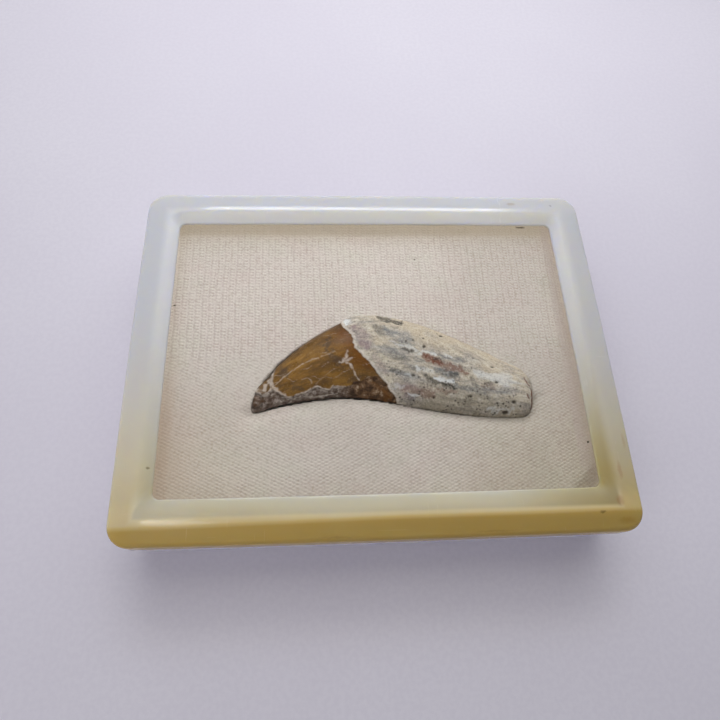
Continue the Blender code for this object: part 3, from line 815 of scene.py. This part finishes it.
    violet = strokes(x, y, ((((-4.4, 5.8), (-2.6, 2.9), (-1.8, 0.5)), 1.9, 1.0), (((-1.4, 1.6), (-1.0, 1.1)), 0.8, 1.0),
                            (((4.5, -8.5), (9.1, -9.3), (12.8, -10.3)), 1.1, 0.85), (((5.9, -10.4), (8.7, -10.7)), 0.8, 0.7),
                            (((-0.2, -1.5), (2.6, -6.3)), 0.9, 0.45)), 0.5) * top * root
    light = strokes(x, y, ((((-6.3, 7.9), (-6.1, 6.3)), 1.0, 0.95), (((12.9, -6.9), (15.0, -7.4), (17.2, -8.3)), 0.7, 0.9),
                           (((9.5, -1.3), (13.8, -1.4)), 0.6, 0.6), (((15.4, -1.6), (17.4, -2.2)), 0.5, 0.5),
                           (((9.2, -4.7), (12.6, -5.6)), 0.8, 0.55), (((6.2, -6.2), (7.6, -6.1)), 0.4, 0.5),
                           (((7.0, -10.2), (9.8, -10.5)), 0.3, 0.8), (((3.5, -8.7), (6.5, -8.6)), 0.5, 0.4),
                           (((22.4, -6.2), (31.1, -8.5)), 1.5, 0.5), (((24.6, -13.7), (30.3, -14.2)), 0.6, 0.5),
                           (((3.8, 1.5), (9.6, -0.5)), 0.5, 0.4)), 0.6) * top * root
    warm = root * smooth(0.15, 0.85, n + 0.25 * fractal(x * 0.3, y * 0.3, z, 53, 3)) * smooth(-3, 6, x)
    warm = np.maximum(warm, strokes(x, y, ((((0.2, 2.2), (3.4, 0.6)), 1.5, 0.75), (((24.0, -4.6), (31.0, -7.6)), 1.6, 0.7)), 0.5) * root * top)
    moss = root * smooth(-0.36, -0.74, n + 0.16 * fractal(x * 0.6, y * 0.6, z, 54, 3)) * smooth(6.5, 12.5, x) * smooth(36, 25, x)
    pit = np.zeros_like(x)
    hollow = np.zeros_like(x)
    for k, (px, py, r) in enumerate(PITS):
        d = np.hypot((x - px) * (0.8 + 0.3 * math.sin(k * 2.1)), (y - py) * (1.0 + 0.3 * math.cos(k * 1.7)))
        d = d * (0.85 + 0.3 * value_noise(x * 3.1, y * 3.1, k * 1.0, 61))
        pit = np.maximum(pit, smooth(r * 1.15, r * 0.5, d))
        hollow = np.maximum(hollow, 0.85 * r * np.exp(-(d / (r * 0.85)) ** 2))
    pit *= top
    hollow *= top
    # the worn disc on the very tip, with a dark ring round it
    reach = np.hypot((x + 25.75) / 1.0, (y + 10.9) / 1.15) + 0.18 * fractal(x * 1.2, y * 1.2, z, 63, 2)
    disc = smooth(1.25, 0.95, reach) * top * crown
    ringed = np.exp(-((reach - 1.32) / 0.26) ** 2) * top * crown
    pit = np.maximum(pit, 0.75 * ringed)
    white = white * (1.0 - 0.9 * disc)
    rust = np.maximum(rust * (1.0 - disc), 0.25 * disc)
    # the broken rim at the root's end
    seam = strokes(x, y, ((((33.2, -7.3), (33.5, -8.4), (34.0, -9.1)), 0.22, 0.8), (((34.2, -9.8), (34.6, -11.2), (34.6, -12.6), (34.1, -14.0)), 0.26, 1.0),
                          (((33.2, -10.8), (33.9, -12.1)), 0.20, 0.8)), 0.25) * top
    # ---- relief, in millimetres
    fade = np.clip(np.minimum((x - TIP_X) / 1.2, (ROOT_X - x) / 2.0), 0.12, 1.0)
    h = 0.16 * fractal(x / 6.5, y / 6.5, z / 6.5, 71, 3)
    fibre = fractal(flow_u * 0.16, flow_v * 1.25, z * 0.0, 72, 3)
    fine = fractal(flow_u * 0.42, flow_v * 3.3, z * 0.0, 73, 2)
    grain = fractal(x * 1.9, y * 1.9, z * 1.9, 74, 3)
    h += root * (0.10 + 0.045 * fibre + 0.015 * fine + 0.05 * grain)
    h += 0.13 * rim * (0.6 + 0.4 * grain)
    h -= low * (0.34 - 0.16 * grain - 0.10 * fractal(x * 0.9, y * 0.9, z, 75, 3)) * smooth(0.0, 0.5, under + 0.4 * nub)
    h += 0.08 * chipped - 0.10 * crack * (1 - 0.5 * grain)
    h += 0.05 * flakes - 0.22 * fragment
    h -= 1.1 * hollow + 0.12 * seam
    h -= root * smooth(0.45, 0.20, value_noise(x * 1.1, y * 1.1, z * 1.1, 76)) * 0.10 * smooth(0.0, -0.6, n)
    side = smooth(-0.9, 0.3, n)
    h += 0.62 * np.exp(-((x + 25.5) / 1.25) ** 2) * side - 0.25 * np.exp(-((x + 23.5) / 0.5) ** 2) * side
    h += crown * (1 - low) * 0.012 * fractal(flow_u * 1.6, flow_v * 0.25, 0, 77, 2)
    p = p + nrm * (h * fade)[..., None]

    rows = len(xs)
    verts = p.reshape(-1, 3)
    ends = np.array([p[0].mean(0) - (0.12, 0, 0), p[-1].mean(0) + (0.10, 0, 0)])
    verts = np.vstack([verts, ends])
    faces = []
    for i in range(rows - 1):
        for j in range(sides):
            m = (j + 1) % sides
            faces.append((i * sides + j, i * sides + m, (i + 1) * sides + m, (i + 1) * sides + j))
    tip, end = len(verts) - 2, len(verts) - 1
    for j in range(sides):
        m = (j + 1) % sides
        faces.append((tip, m, j))
        faces.append((end, (rows - 1) * sides + j, (rows - 1) * sides + m))

    def full(v):
        v = np.broadcast_to(v, x.shape)
        return np.concatenate([v.reshape(-1), [v[0].mean(), v[-1].mean()]])

    attrs = {"crown": full(crown), "white": full(white), "low": full(low), "rust": full(rust), "cool": full(cool),
             "warm": full(warm), "smoke": full(smoke), "violet": full(violet), "moss": full(moss),
             "pit": full(pit), "seam": full(seam), "light": full(light), "flow_u": full(flow_u), "flow_v": full(flow_v),
             "rise": full(n)}
    ob = make_object("fossil_tooth", verts, faces, attrs)
    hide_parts("tooth")
    ob.data.materials.append(fossil())


def fossil():
    """Glossy brown enamel, flaked dark dentine below it, and the pale mottled root."""
    g = Graph("fossil_enamel_and_bone")
    crown, white, low, rust = g.attr("crown"), g.attr("white"), g.attr("low"), g.attr("rust")
    cool, warm, smoke, violet = g.attr("cool"), g.attr("warm"), g.attr("smoke"), g.attr("violet")
    moss, pit, n, light = g.attr("moss"), g.attr("pit"), g.attr("rise"), g.attr("light")
    join = g.node("ShaderNodeCombineXYZ")
    g.put(join.inputs[0], g.attr("flow_u"))
    g.put(join.inputs[1], g.attr("flow_v"))
    flow = join.outputs[0]
    broad = g.noise(g.stretch((0.13, 0.34, 1.0), flow), 1.0, 4.0, 0.6, 0.4)
    mottle = g.noise(g.stretch((0.42, 0.62, 1.0), flow), 1.0, 5.0, 0.68, 0.6)
    streak = g.noise(g.stretch((0.24, 1.15, 1.0), flow), 1.0, 4.0, 0.62, 0.5)
    thread = g.noise(g.stretch((0.7, 3.6, 1.0), flow), 1.0, 3.0, 0.6, 0.3)
    blotch = g.noise(scale=420.0, detail=5.0, rough=0.65)
    patchy = g.noise(scale=900.0, detail=4.0, rough=0.7)
    grit = g.noise(scale=2600.0, detail=3.0, rough=0.6)
    dots = g.cells(scale=1150.0)
    where = g.noise(scale=230.0, detail=2.0)

    # root
    bone = g.ramp(broad, [(0.30, bone_tone(142, 142, 140)), (0.42, bone_tone(170, 164, 154)), (0.54, bone_tone(192, 182, 164)), (0.70, bone_tone(200, 190, 168))])
    bone = g.mix(g.span(mottle, 0.53, 0.68, 0.0, 0.65), bone, bone_tone(124, 120, 112))
    bone = g.mix(g.span(mottle, 0.46, 0.32, 0.0, 0.65), bone, bone_tone(216, 209, 196))
    bone = g.mix(g.span(streak, 0.50, 0.66, 0.0, 0.60), bone, bone_tone(126, 123, 118))
    bone = g.mix(g.span(streak, 0.44, 0.32, 0.0, 0.45), bone, bone_tone(214, 206, 192))
    bone = g.mix(g.span(patchy, 0.54, 0.68, 0.0, 0.45), bone, bone_tone(122, 113, 100))
    bone = g.mix(g.span(patchy, 0.46, 0.34, 0.0, 0.42), bone, bone_tone(216, 208, 192))
    bone = g.mix(g.math("MULTIPLY", warm, g.span(blotch, 0.25, 0.6, 0.35, 0.80)), bone, bone_tone(198, 183, 158))
    bone = g.mix(g.math("MULTIPLY", cool, g.span(streak, 0.30, 0.62, 0.40, 0.90)), bone, bone_tone(94, 103, 110))
    bone = g.mix(g.math("MULTIPLY", violet, g.span(blotch, 0.35, 0.65, 0.40, 0.85)), bone, bone_tone(144, 124, 126))
    bone = g.mix(g.math("MULTIPLY", moss, g.span(mottle, 0.3, 0.62, 0.40, 0.90)), bone, bone_tone(160, 152, 134))
    bone = g.mix(g.math("MULTIPLY", light, g.span(blotch, 0.3, 0.62, 0.65, 1.0)), bone, bone_tone(224, 228, 230))
    bone = g.mix(g.math("MULTIPLY", rust, g.span(patchy, 0.26, 0.60, 0.70, 1.0)), bone, bone_tone(116, 74, 58))
    bone = g.mix(g.math("MULTIPLY", smoke, g.span(patchy, 0.26, 0.60, 0.60, 1.0)), bone, bone_tone(54, 54, 50))
    bone = g.mix(g.span(thread, 0.52, 0.70, 0.0, 0.18), bone, bone_tone(112, 104, 96))
    bone = g.mix(g.span(grit, 0.54, 0.66, 0.0, 0.45), bone, bone_tone(104, 95, 84))
    bone = g.mix(g.span(grit, 0.46, 0.34, 0.0, 0.30), bone, bone_tone(222, 216, 202))
    lower = g.span(n, 0.3, -0.8, 0.22, 1.0)
    speck = g.math("MULTIPLY", g.span(dots, 0.34, 0.18, 0.0, 0.8), g.math("MULTIPLY", g.span(where, 0.40, 0.54), lower))
    bone = g.mix(speck, bone, bone_tone(72, 64, 58))

    # enamel
    enamel = g.ramp(broad, [(0.30, tone(82, 60, 33)), (0.46, tone(108, 79, 38)), (0.60, tone(126, 93, 43)), (0.76, tone(138, 105, 54))])
    enamel = g.mix(g.span(mottle, 0.50, 0.66, 0.0, 0.55), enamel, tone(80, 60, 40))
    enamel = g.mix(g.span(mottle, 0.46, 0.34, 0.0, 0.40), enamel, tone(140, 108, 62))
    enamel = g.mix(g.span(streak, 0.48, 0.68, 0.0, 0.45), enamel, tone(84, 62, 38))
    enamel = g.mix(g.math("MULTIPLY", rust, g.span(mottle, 0.3, 0.7, 0.95, 0.6)), enamel, tone(92, 51, 10))
    enamel = g.mix(g.math("MULTIPLY", smoke, g.span(blotch, 0.25, 0.65, 0.60, 0.95)), enamel, tone(70, 57, 46))
    enamel = g.mix(g.span(thread, 0.50, 0.72, 0.0, 0.28), enamel, tone(70, 50, 30))
    enamel = g.mix(g.span(patchy, 0.50, 0.72, 0.0, 0.30), enamel, tone(84, 66, 46))
    enamel = g.mix(g.span(grit, 0.58, 0.70, 0.0, 0.30), enamel, tone(160, 132, 96))
    near_root = g.span(g.attr("flow_u"), -11.0, -5.0)
    pale = g.ramp(patchy, [(0.36, tone(72, 58, 50)), (0.46, tone(95, 81, 71)), (0.56, tone(121, 109, 100)), (0.66, tone(160, 150, 142))])
    dark = g.ramp(patchy, [(0.36, tone(60, 45, 32)), (0.48, tone(90, 68, 49)), (0.58, tone(116, 90, 66)), (0.68, tone(156, 138, 116))])
    flaked = g.mix(near_root, pale, dark)
    flaked = g.mix(g.math("MULTIPLY", rust, g.span(patchy, 0.3, 0.7, 1.0, 0.5)), flaked, tone(106, 72, 38))
    enamel = g.mix(low, enamel, flaked)

    colour = g.mix(crown, bone, enamel)
    colour = g.mix(g.math("MULTIPLY", white, g.span(patchy, 0.30, 0.54, 1.0, 0.70)), colour, bone_tone(212, 202, 190))
    colour = g.mix(g.math("MULTIPLY", pit, 0.88), colour, tone(44, 37, 32))
    colour = g.mix(g.attr("seam"), colour, tone(98, 62, 44))

    gloss = g.math("MULTIPLY", crown, g.math("SUBTRACT", 1.0, g.math("MAXIMUM", low, white)))
    rough = g.math("ADD", g.math("MULTIPLY", gloss, -0.36), g.span(blotch, 0.3, 0.7, 0.62, 0.74))
    fibres = g.math("ADD", g.math("MULTIPLY", thread, 0.8), g.math("MULTIPLY", grit, 0.8))
    dull = g.math("MULTIPLY", fibres, g.span(gloss, 0.0, 1.0, 1.0, 0.12))
    normal = g.bump(g.math("SUBTRACT", dull, g.math("MULTIPLY", speck, 0.8)), 0.55, 0.00012)
    g.surface(Base_Color=colour, Roughness=rough, IOR=1.5, Specular_IOR_Level=0.18, Normal=normal)
    return g.mat


# ------------------------------------------------------------------------- pad
PAD_HX, PAD_HY, PAD_BASE = 48.7, 36.7, 2.1


def round_down(distance, width):
    t = np.clip(1.0 - distance / width, 0.0, 1.0)
    return 1.0 - np.sqrt(np.clip(1.0 - t * t, 0.0, None))


def tooth_distance(x, y):
    xs = np.linspace(TIP_X, ROOT_X, 120)
    mid, half, _, _ = tooth_section(xs)
    best = np.full(x.shape, 1e9)
    for xx, m, h in zip(xs, mid, half):
        best = np.minimum(best, np.hypot(x - xx, np.maximum(np.abs(y - m) - h, 0.0)))
    return best


def pad_level(x, y):
    """The fabric's height without the tooth."""
    drops = [round_down(PAD_HX + x, 5.5), round_down(PAD_HX - x, 5.0), round_down(PAD_HY - y, 3.2), round_down(PAD_HY + y, 3.2)]
    drop = np.minimum(np.sqrt(sum(v * v for v in drops)), 1.0)
    fold = fold_depth(x, y)
    level = 12.95 + (15.6 - 12.95) * (y + PAD_HY) / (2.0 * PAD_HY)
    return level - 2.6 * drop - 1.5 * fold * (1.0 - drop)


def fold_depth(x, y):
    """1 on the corner that is folded off at the front right."""
    ax, ay, bx, by = 36.0, -PAD_HY, PAD_HX, -25.0
    nx, ny = (by - ay), -(bx - ax)
    d = -((x - ax) * nx + (y - ay) * ny) / math.hypot(nx, ny)
    return smooth(1.9, -4.4, d)


def settled(x, y):
    """How far the fabric face moves when the foam under it presses out, from a cloth simulation at ten times the size."""
    nx, ny = 66, 50
    u, v = np.meshgrid(np.linspace(-1, 1, nx + 1), np.linspace(-1, 1, ny + 1), indexing="ij")
    px, py = PAD_HX * u, PAD_HY * v
    pz = pad_level(px, py)
    verts = np.stack([px, py, pz], -1).reshape(-1, 3)
    low = np.stack([px * 0.99, py * 0.99, np.full_like(px, PAD_BASE)], -1).reshape(-1, 3)
    idx = np.arange((nx + 1) * (ny + 1)).reshape(nx + 1, ny + 1)
    off = len(verts)
    faces = [(idx[i, j], idx[i + 1, j], idx[i + 1, j + 1], idx[i, j + 1]) for i in range(nx) for j in range(ny)]
    faces += [tuple(off + k for k in reversed(f)) for f in faces]
    rim = ([idx[i, 0] for i in range(nx)] + [idx[nx, j] for j in range(ny)]
           + [idx[i, ny] for i in range(nx, 0, -1)] + [idx[0, j] for j in range(ny, 0, -1)])
    for k in range(len(rim)):
        p, q = rim[k], rim[(k + 1) % len(rim)]
        faces.append((p, off + p, off + q, q))
    mesh = bpy.data.meshes.new("pad_trial")
    mesh.from_pydata((np.vstack([verts, low]) * 0.01).tolist(), [], [tuple(int(i) for i in f) for f in faces])
    ob = bpy.data.objects.new("pad_trial", mesh)
    scene.collection.objects.link(ob)
    remesh = ob.modifiers.new("voxels", "REMESH")
    remesh.mode = "VOXEL"
    remesh.voxel_size = 0.0125
    depsgraph = bpy.context.evaluated_depsgraph_get()
    fine = bpy.data.meshes.new_from_object(ob.evaluated_get(depsgraph))
    ob.modifiers.clear()
    ob.data = fine
    rest = np.empty(len(fine.vertices) * 3)
    fine.vertices.foreach_get("co", rest)
    rest = rest.reshape(-1, 3)
    free = (rest[:, 2] > 0.095) & (np.abs(rest[:, 0]) < 0.474) & (np.abs(rest[:, 1]) < 0.354)
    held = ob.vertex_groups.new(name="held")
    held.add([int(i) for i in np.nonzero(~free)[0]], 1.0, "REPLACE")
    cloth = ob.modifiers.new("cloth", "CLOTH")
    cs = cloth.settings
    cs.quality = 6
    cs.mass = 0.25
    cs.tension_stiffness = cs.compression_stiffness = 12.0
    cs.shear_stiffness = 6.0
    cs.bending_stiffness = 0.6
    cs.use_pressure = True
    cs.uniform_pressure_force = 4.0
    cs.shrink_min = -0.015
    cs.vertex_group_mass = "held"
    cs.pin_stiffness = 1.0
    cs.effector_weights.gravity = 0.0
    cloth.point_cache.frame_start, cloth.point_cache.frame_end = 1, 20
    for frame_number in range(1, 21):
        scene.frame_set(frame_number)
    depsgraph = bpy.context.evaluated_depsgraph_get()
    done = ob.evaluated_get(depsgraph).to_mesh()
    end = np.empty(len(done.vertices) * 3)
    done.vertices.foreach_get("co", end)
    moved = (end.reshape(-1, 3)[:, 2] - rest[:, 2]) * 100.0
    scene.frame_set(1)
    bpy.data.objects.remove(ob, do_unlink=True)
    # back onto a regular grid: the mean of the vertices over each cell, then smooth between cells
    top = rest[:, 2] > 0.09
    gx, gy = 78, 58
    ci = np.clip(((rest[:, 0] * 100 / PAD_HX + 1) / 2 * gx).astype(int), 0, gx - 1)
    cj = np.clip(((rest[:, 1] * 100 / PAD_HY + 1) / 2 * gy).astype(int), 0, gy - 1)
    total, count = np.zeros((gx, gy)), np.zeros((gx, gy))
    np.add.at(total, (ci[top], cj[top]), moved[top])
    np.add.at(count, (ci[top], cj[top]), 1.0)
    grid = total / np.maximum(count, 1.0)
    for _ in range(2):
        e = np.pad(grid, 1, mode="edge")
        grid = (e[:-2, 1:-1] + e[2:, 1:-1] + e[1:-1, :-2] + e[1:-1, 2:] + 2 * e[1:-1, 1:-1]) / 6.0
    fx = np.clip((x / PAD_HX + 1) / 2 * gx - 0.5, 0, gx - 1.001)
    fy = np.clip((y / PAD_HY + 1) / 2 * gy - 0.5, 0, gy - 1.001)
    i, j = fx.astype(int), fy.astype(int)
    a, b = fx - i, fy - j
    out = (grid[i, j] * (1 - a) * (1 - b) + grid[i + 1, j] * a * (1 - b) + grid[i, j + 1] * (1 - a) * b + grid[i + 1, j + 1] * a * b)
    print("cloth moved", float(out.min()), float(out.mean()), float(out.max()))
    out = out * min(1.0, 0.55 / max(float(np.abs(out).max()), 1e-6))
    return np.clip(out, -0.35, 0.55)


def tooth_floor(x, y):
    """How low the fabric has to be under the tooth."""
    mid, half, _, sink = tooth_section(np.clip(x, TIP_X + 0.01, ROOT_X - 0.01))
    reach = np.where(y > mid, 0.84 * half, half + 0.06)        # behind the tooth the fabric laps on to it
    q = np.clip(np.abs(y - mid) / np.maximum(reach, 1e-3), 0, 1)
    inside = (q < 1) & (x > TIP_X + 0.1) & (x < ROOT_X - 0.1)
    low = MIDPLANE - 0.05 - (sink + 0.25) * np.sqrt(np.clip(1 - q ** 2.17, 0, 1))
    return np.where(inside, low, 1e9)


def make_pad():
    nx, ny = 300, 226
    u, v = np.meshgrid(np.linspace(-1, 1, nx + 1), np.linspace(-1, 1, ny + 1), indexing="ij")
    x = PAD_HX * u * (1.0 - 0.018 * np.clip(np.abs(v) - 0.85, 0, None) / 0.15 * np.abs(u) ** 8)
    y = PAD_HY * v * (1.0 - 0.024 * np.clip(np.abs(u) - 0.85, 0, None) / 0.15 * np.abs(v) ** 8)
    away = tooth_distance(x, y)
    mid = tooth_section(np.clip(x, TIP_X + 0.01, ROOT_X - 0.01))[0]
    ahead = smooth(1.0, -2.0, y - mid)                               # 1 in front of the tooth, 0 behind it
    near = np.exp(-(away / 2.6) ** 2) * ahead                        # the tooth holds the foam down along its front edge
    z = pad_level(x, y) + settled(x, y) * (1.0 - 0.95 * near)
    z = z + 0.10 * fractal(x / 9.0, y / 9.0, 0.0, 81, 3) + 0.03 * fractal(x / 2.2, y / 2.2, 0.0, 82, 2)
    fold = fold_depth(x, y)
    crease = np.exp(-((fold - 0.10) / 0.10) ** 2)
    z = z + 0.18 * crease - 0.10 * fractal(x / 3.0, y / 3.0, 2.0, 83, 2) * fold
    z = z - 0.62 * np.exp(-(away / 2.4) ** 2) * ahead
    z = np.minimum(z, tooth_floor(x, y))
    verts = np.stack([x, y, z], -1).reshape(-1, 3).tolist()
    idx = np.arange((nx + 1) * (ny + 1)).reshape(nx + 1, ny + 1)
    faces = [(idx[i, j], idx[i + 1, j], idx[i + 1, j + 1], idx[i, j + 1]) for i in range(nx) for j in range(ny)]
    border = ([idx[i, 0] for i in range(nx)] + [idx[nx, j] for j in range(ny)]
              + [idx[i, ny] for i in range(nx, 0, -1)] + [idx[0, j] for j in range(ny, 0, -1)])
    low = []
    for b in border:
        p = verts[b]
        low.append(len(verts))
        verts.append([p[0] * 0.988, p[1] * 0.988, PAD_BASE])
    n = len(border)
    for k in range(n):
        m = (k + 1) % n
        faces.append((border[k], low[k], low[m], border[m]))
    faces.append(tuple(low))
    # darker and reddish at the front left, partly a stain and partly painted shade; the strip along the left edge is
    # painted shade from the left wall of the border
    grime_and_wall_shade = smooth(-30.0, -46.0, x + 3 * fractal(x / 9, y / 9, 0, 84, 2)) * smooth(-2, -26, y) * 0.8
    grime_and_wall_shade = np.maximum(grime_and_wall_shade, smooth(2.6, 0.0, x + 44.3) * smooth(4, -20, y))
    # painted shade on the fabric under the back of the lid's border
    edge = smooth(29.9, 31.5, y)
    # painted shade, mauve, along the right edge of the fabric under the lid's border, stopping short of the front
    # corner
    right_edge_shade = smooth(43.2, 44.2, x) * smooth(-30.0, -24.0, y)
    amber = smooth(-5.0, -26.0, y) * np.maximum(smooth(8.0, 34.0, x), 0.8 * smooth(-15.0, -36.0, x))
    # painted shade: the fabric darker towards the front and the right, a little at the left edge and the very front,
    # where less light falls
    painted_front_right_shade = 0.50 * smooth(9.0, -14.0, y) + 0.44 * smooth(4.0, 38.0, x) + 0.10 * smooth(-36.0, -44.0, x) + 0.15 * smooth(-24.0, -32.0, y)
    # painted shade for the folded-down corner at the front right
    shade = np.maximum(smooth(0.02, 0.5, fold), 0.0)

    def full(a, rest):
        return np.concatenate([a.reshape(-1), np.full(len(low), rest)])

    ob = make_object("fabric_pad", verts, faces, {"grime_and_wall_shade": full(grime_and_wall_shade, 0.0), "edge": full(edge, 1.0), "right_edge_shade": full(right_edge_shade, 1.0),
                                                  "painted_front_right_shade": full(painted_front_right_shade, 0.5), "fold": full(shade, 0.0),
                                                  "amber": full(amber, 0.0)})
    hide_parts("pad")
    ob.data.materials.append(knit())


def knit():
    """Pale jersey: wales 1.5 mm apart across the box, courses 0.75 mm apart."""
    g = Graph("knit_fabric")
    part = g.node("ShaderNodeSeparateXYZ")
    g.put(part.inputs[0], g.place())
    drift = g.noise(scale=55.0, detail=2.0)
    drift2 = g.noise(g.stretch((1.0, 1.0, 1.0), turn=(0, 0, 1.2)), 70.0, 2.0)
    turn = 2.0 * math.pi
    px, py = part.outputs[0], part.outputs[1]
    # u runs across the wales and v along the courses, drawn a little out of true
    u = g.math("ADD", g.math("MULTIPLY", px, 1000.0 / 1.50), g.math("MULTIPLY", py, 0.012 * 1000.0 / 1.50))
    u = g.math("ADD", u, g.math("MULTIPLY", drift, 0.8))
    v = g.math("ADD", g.math("MULTIPLY", py, 1000.0 / 0.75), g.math("MULTIPLY", px, -0.012 * 1000.0 / 0.75))
    v = g.math("ADD", v, g.math("MULTIPLY", drift2, 1.2))

    def wave(at, strength):
        """A ripple across the fabric, stronger or weaker in places."""
        return g.math("MULTIPLY", g.math("COSINE", g.math("MULTIPLY", at, turn)), strength)

    # in front of the tooth the slant of one leg of the loops shows most, behind it the wales and courses do: painted
    # light, the side of the loops that faces the light drawn brighter
    ahead = g.span(py, 0.004, -0.008)
    uneven = g.span(g.noise(scale=640.0, detail=2.0), 0.35, 0.65, 0.55, 1.35)
    leftward = g.math("MULTIPLY", g.span(px, -0.006, -0.022), ahead)
    weave = g.math("ADD", wave(g.math("SUBTRACT", u, v), g.math("SUBTRACT", g.span(ahead, 0.0, 1.0, 0.45, 0.55), g.math("MULTIPLY", leftward, 0.23))),
                   wave(g.math("ADD", u, v), g.math("ADD", g.span(ahead, 0.0, 1.0, 0.65, 0.22), g.math("MULTIPLY", leftward, 0.20))))
    weave = g.math("ADD", weave, wave(u, g.span(ahead, 0.0, 1.0, 0.60, 0.08)))
    weave = g.math("ADD", weave, wave(g.math("MULTIPLY_ADD", u, 2.0, 0.15), g.span(ahead, 0.0, 1.0, 0.50, 0.05)))
    weave = g.math("ADD", weave, wave(v, g.span(ahead, 0.0, 1.0, 0.80, 0.10)))
    weave = g.math("MULTIPLY", weave, uneven)
    fuzz = g.noise(scale=3800.0, detail=4.0, rough=0.7)
    lint = g.noise(scale=900.0, detail=3.0, rough=0.65)
    cloud = g.noise(scale=60.0, detail=4.0, rough=0.6)
    colour = g.mix(g.span(cloud, 0.3, 0.7), PAD_SHADE, PAD_LIGHT)
    # painted shade in the knit's holes and painted light on the tops of its loops
    colour = g.mix(g.span(weave, 0.1, -1.2, 0.0, 0.34), colour, PAD_HOLE_SHADE)
    colour = g.mix(g.span(weave, 0.1, 1.3, 0.0, 0.45), colour, PAD_YARN_LIT)
    tint = g.noise(scale=130.0, detail=2.0)
    colour = g.mix(g.span(tint, 0.52, 0.66, 0.0, 0.6), colour, g.mix(1.0, colour, (0.955, 0.985, 0.95), "MULTIPLY"))
    colour = g.mix(g.span(tint, 0.48, 0.36, 0.0, 0.6), colour, g.mix(1.0, colour, (1.0, 0.965, 0.975), "MULTIPLY"))
    # fine painted shade and light in the nap
    colour = g.mix(g.span(fuzz, 0.52, 0.72, 0.0, 0.30), colour, PAD_HOLE_SHADE)
    nap = g.noise(scale=1700.0, detail=2.0, rough=0.5)
    colour = g.mix(g.span(nap, 0.52, 0.66, 0.0, 0.26), colour, PAD_HOLE_SHADE)
    colour = g.mix(g.span(nap, 0.46, 0.34, 0.0, 0.35), colour, PAD_YARN_LIT)
    colour = g.mix(g.span(lint, 0.56, 0.72, 0.0, 0.22), colour, srgb(200, 184, 166))
    # stain and painted shade at the front left and along the left edge
    colour = g.mix(g.math("MULTIPLY", g.attr("grime_and_wall_shade"), g.span(cloud, 0.3, 0.7, 0.45, 0.9)), colour, srgb(206, 184, 170))
    # painted shade towards the front and right of the pad
    colour = g.mix(g.attr("painted_front_right_shade"), colour, g.mix(1.0, colour, (0.74, 0.74, 0.71), "MULTIPLY"))
    colour = g.mix(g.attr("amber"), colour, g.mix(1.0, colour, (0.98, 0.972, 0.91), "MULTIPLY"))
    # painted shade in the folded-down corner at the front right
    colour = g.mix(g.math("MULTIPLY", g.attr("fold"), 0.12), colour, srgb(168, 142, 116))
    # painted shade under the back of the lid's border
    colour = g.mix(g.math("MULTIPLY", g.attr("edge"), 0.75), colour, srgb(190, 178, 162))
    # painted shade along the right edge of the fabric
    colour = g.mix(g.math("MULTIPLY", g.attr("right_edge_shade"), 0.50), colour, srgb(186, 172, 166))
    relief = g.math("ADD", g.math("MULTIPLY", weave, 1.0), g.math("MULTIPLY", fuzz, 0.5))
    g.surface(Base_Color=colour, Roughness=g.span(fuzz, 0.3, 0.7, 0.86, 0.98), Sheen_Weight=0.15, Sheen_Roughness=0.5,
              Normal=g.bump(relief, 0.30, 0.00014))
    return g.mat


PAD_LIGHT, PAD_SHADE = srgb(216, 208, 199), srgb(209, 200, 191)
# painted shade of the knit's holes and painted light of its loops
PAD_HOLE_SHADE, PAD_YARN_LIT = srgb(157, 139, 122), srgb(221, 213, 203)

make_camera()
make_lights()
make_floor()
make_tray()
make_pad()
make_tooth()
make_lid()
make_pane()
make_dust()
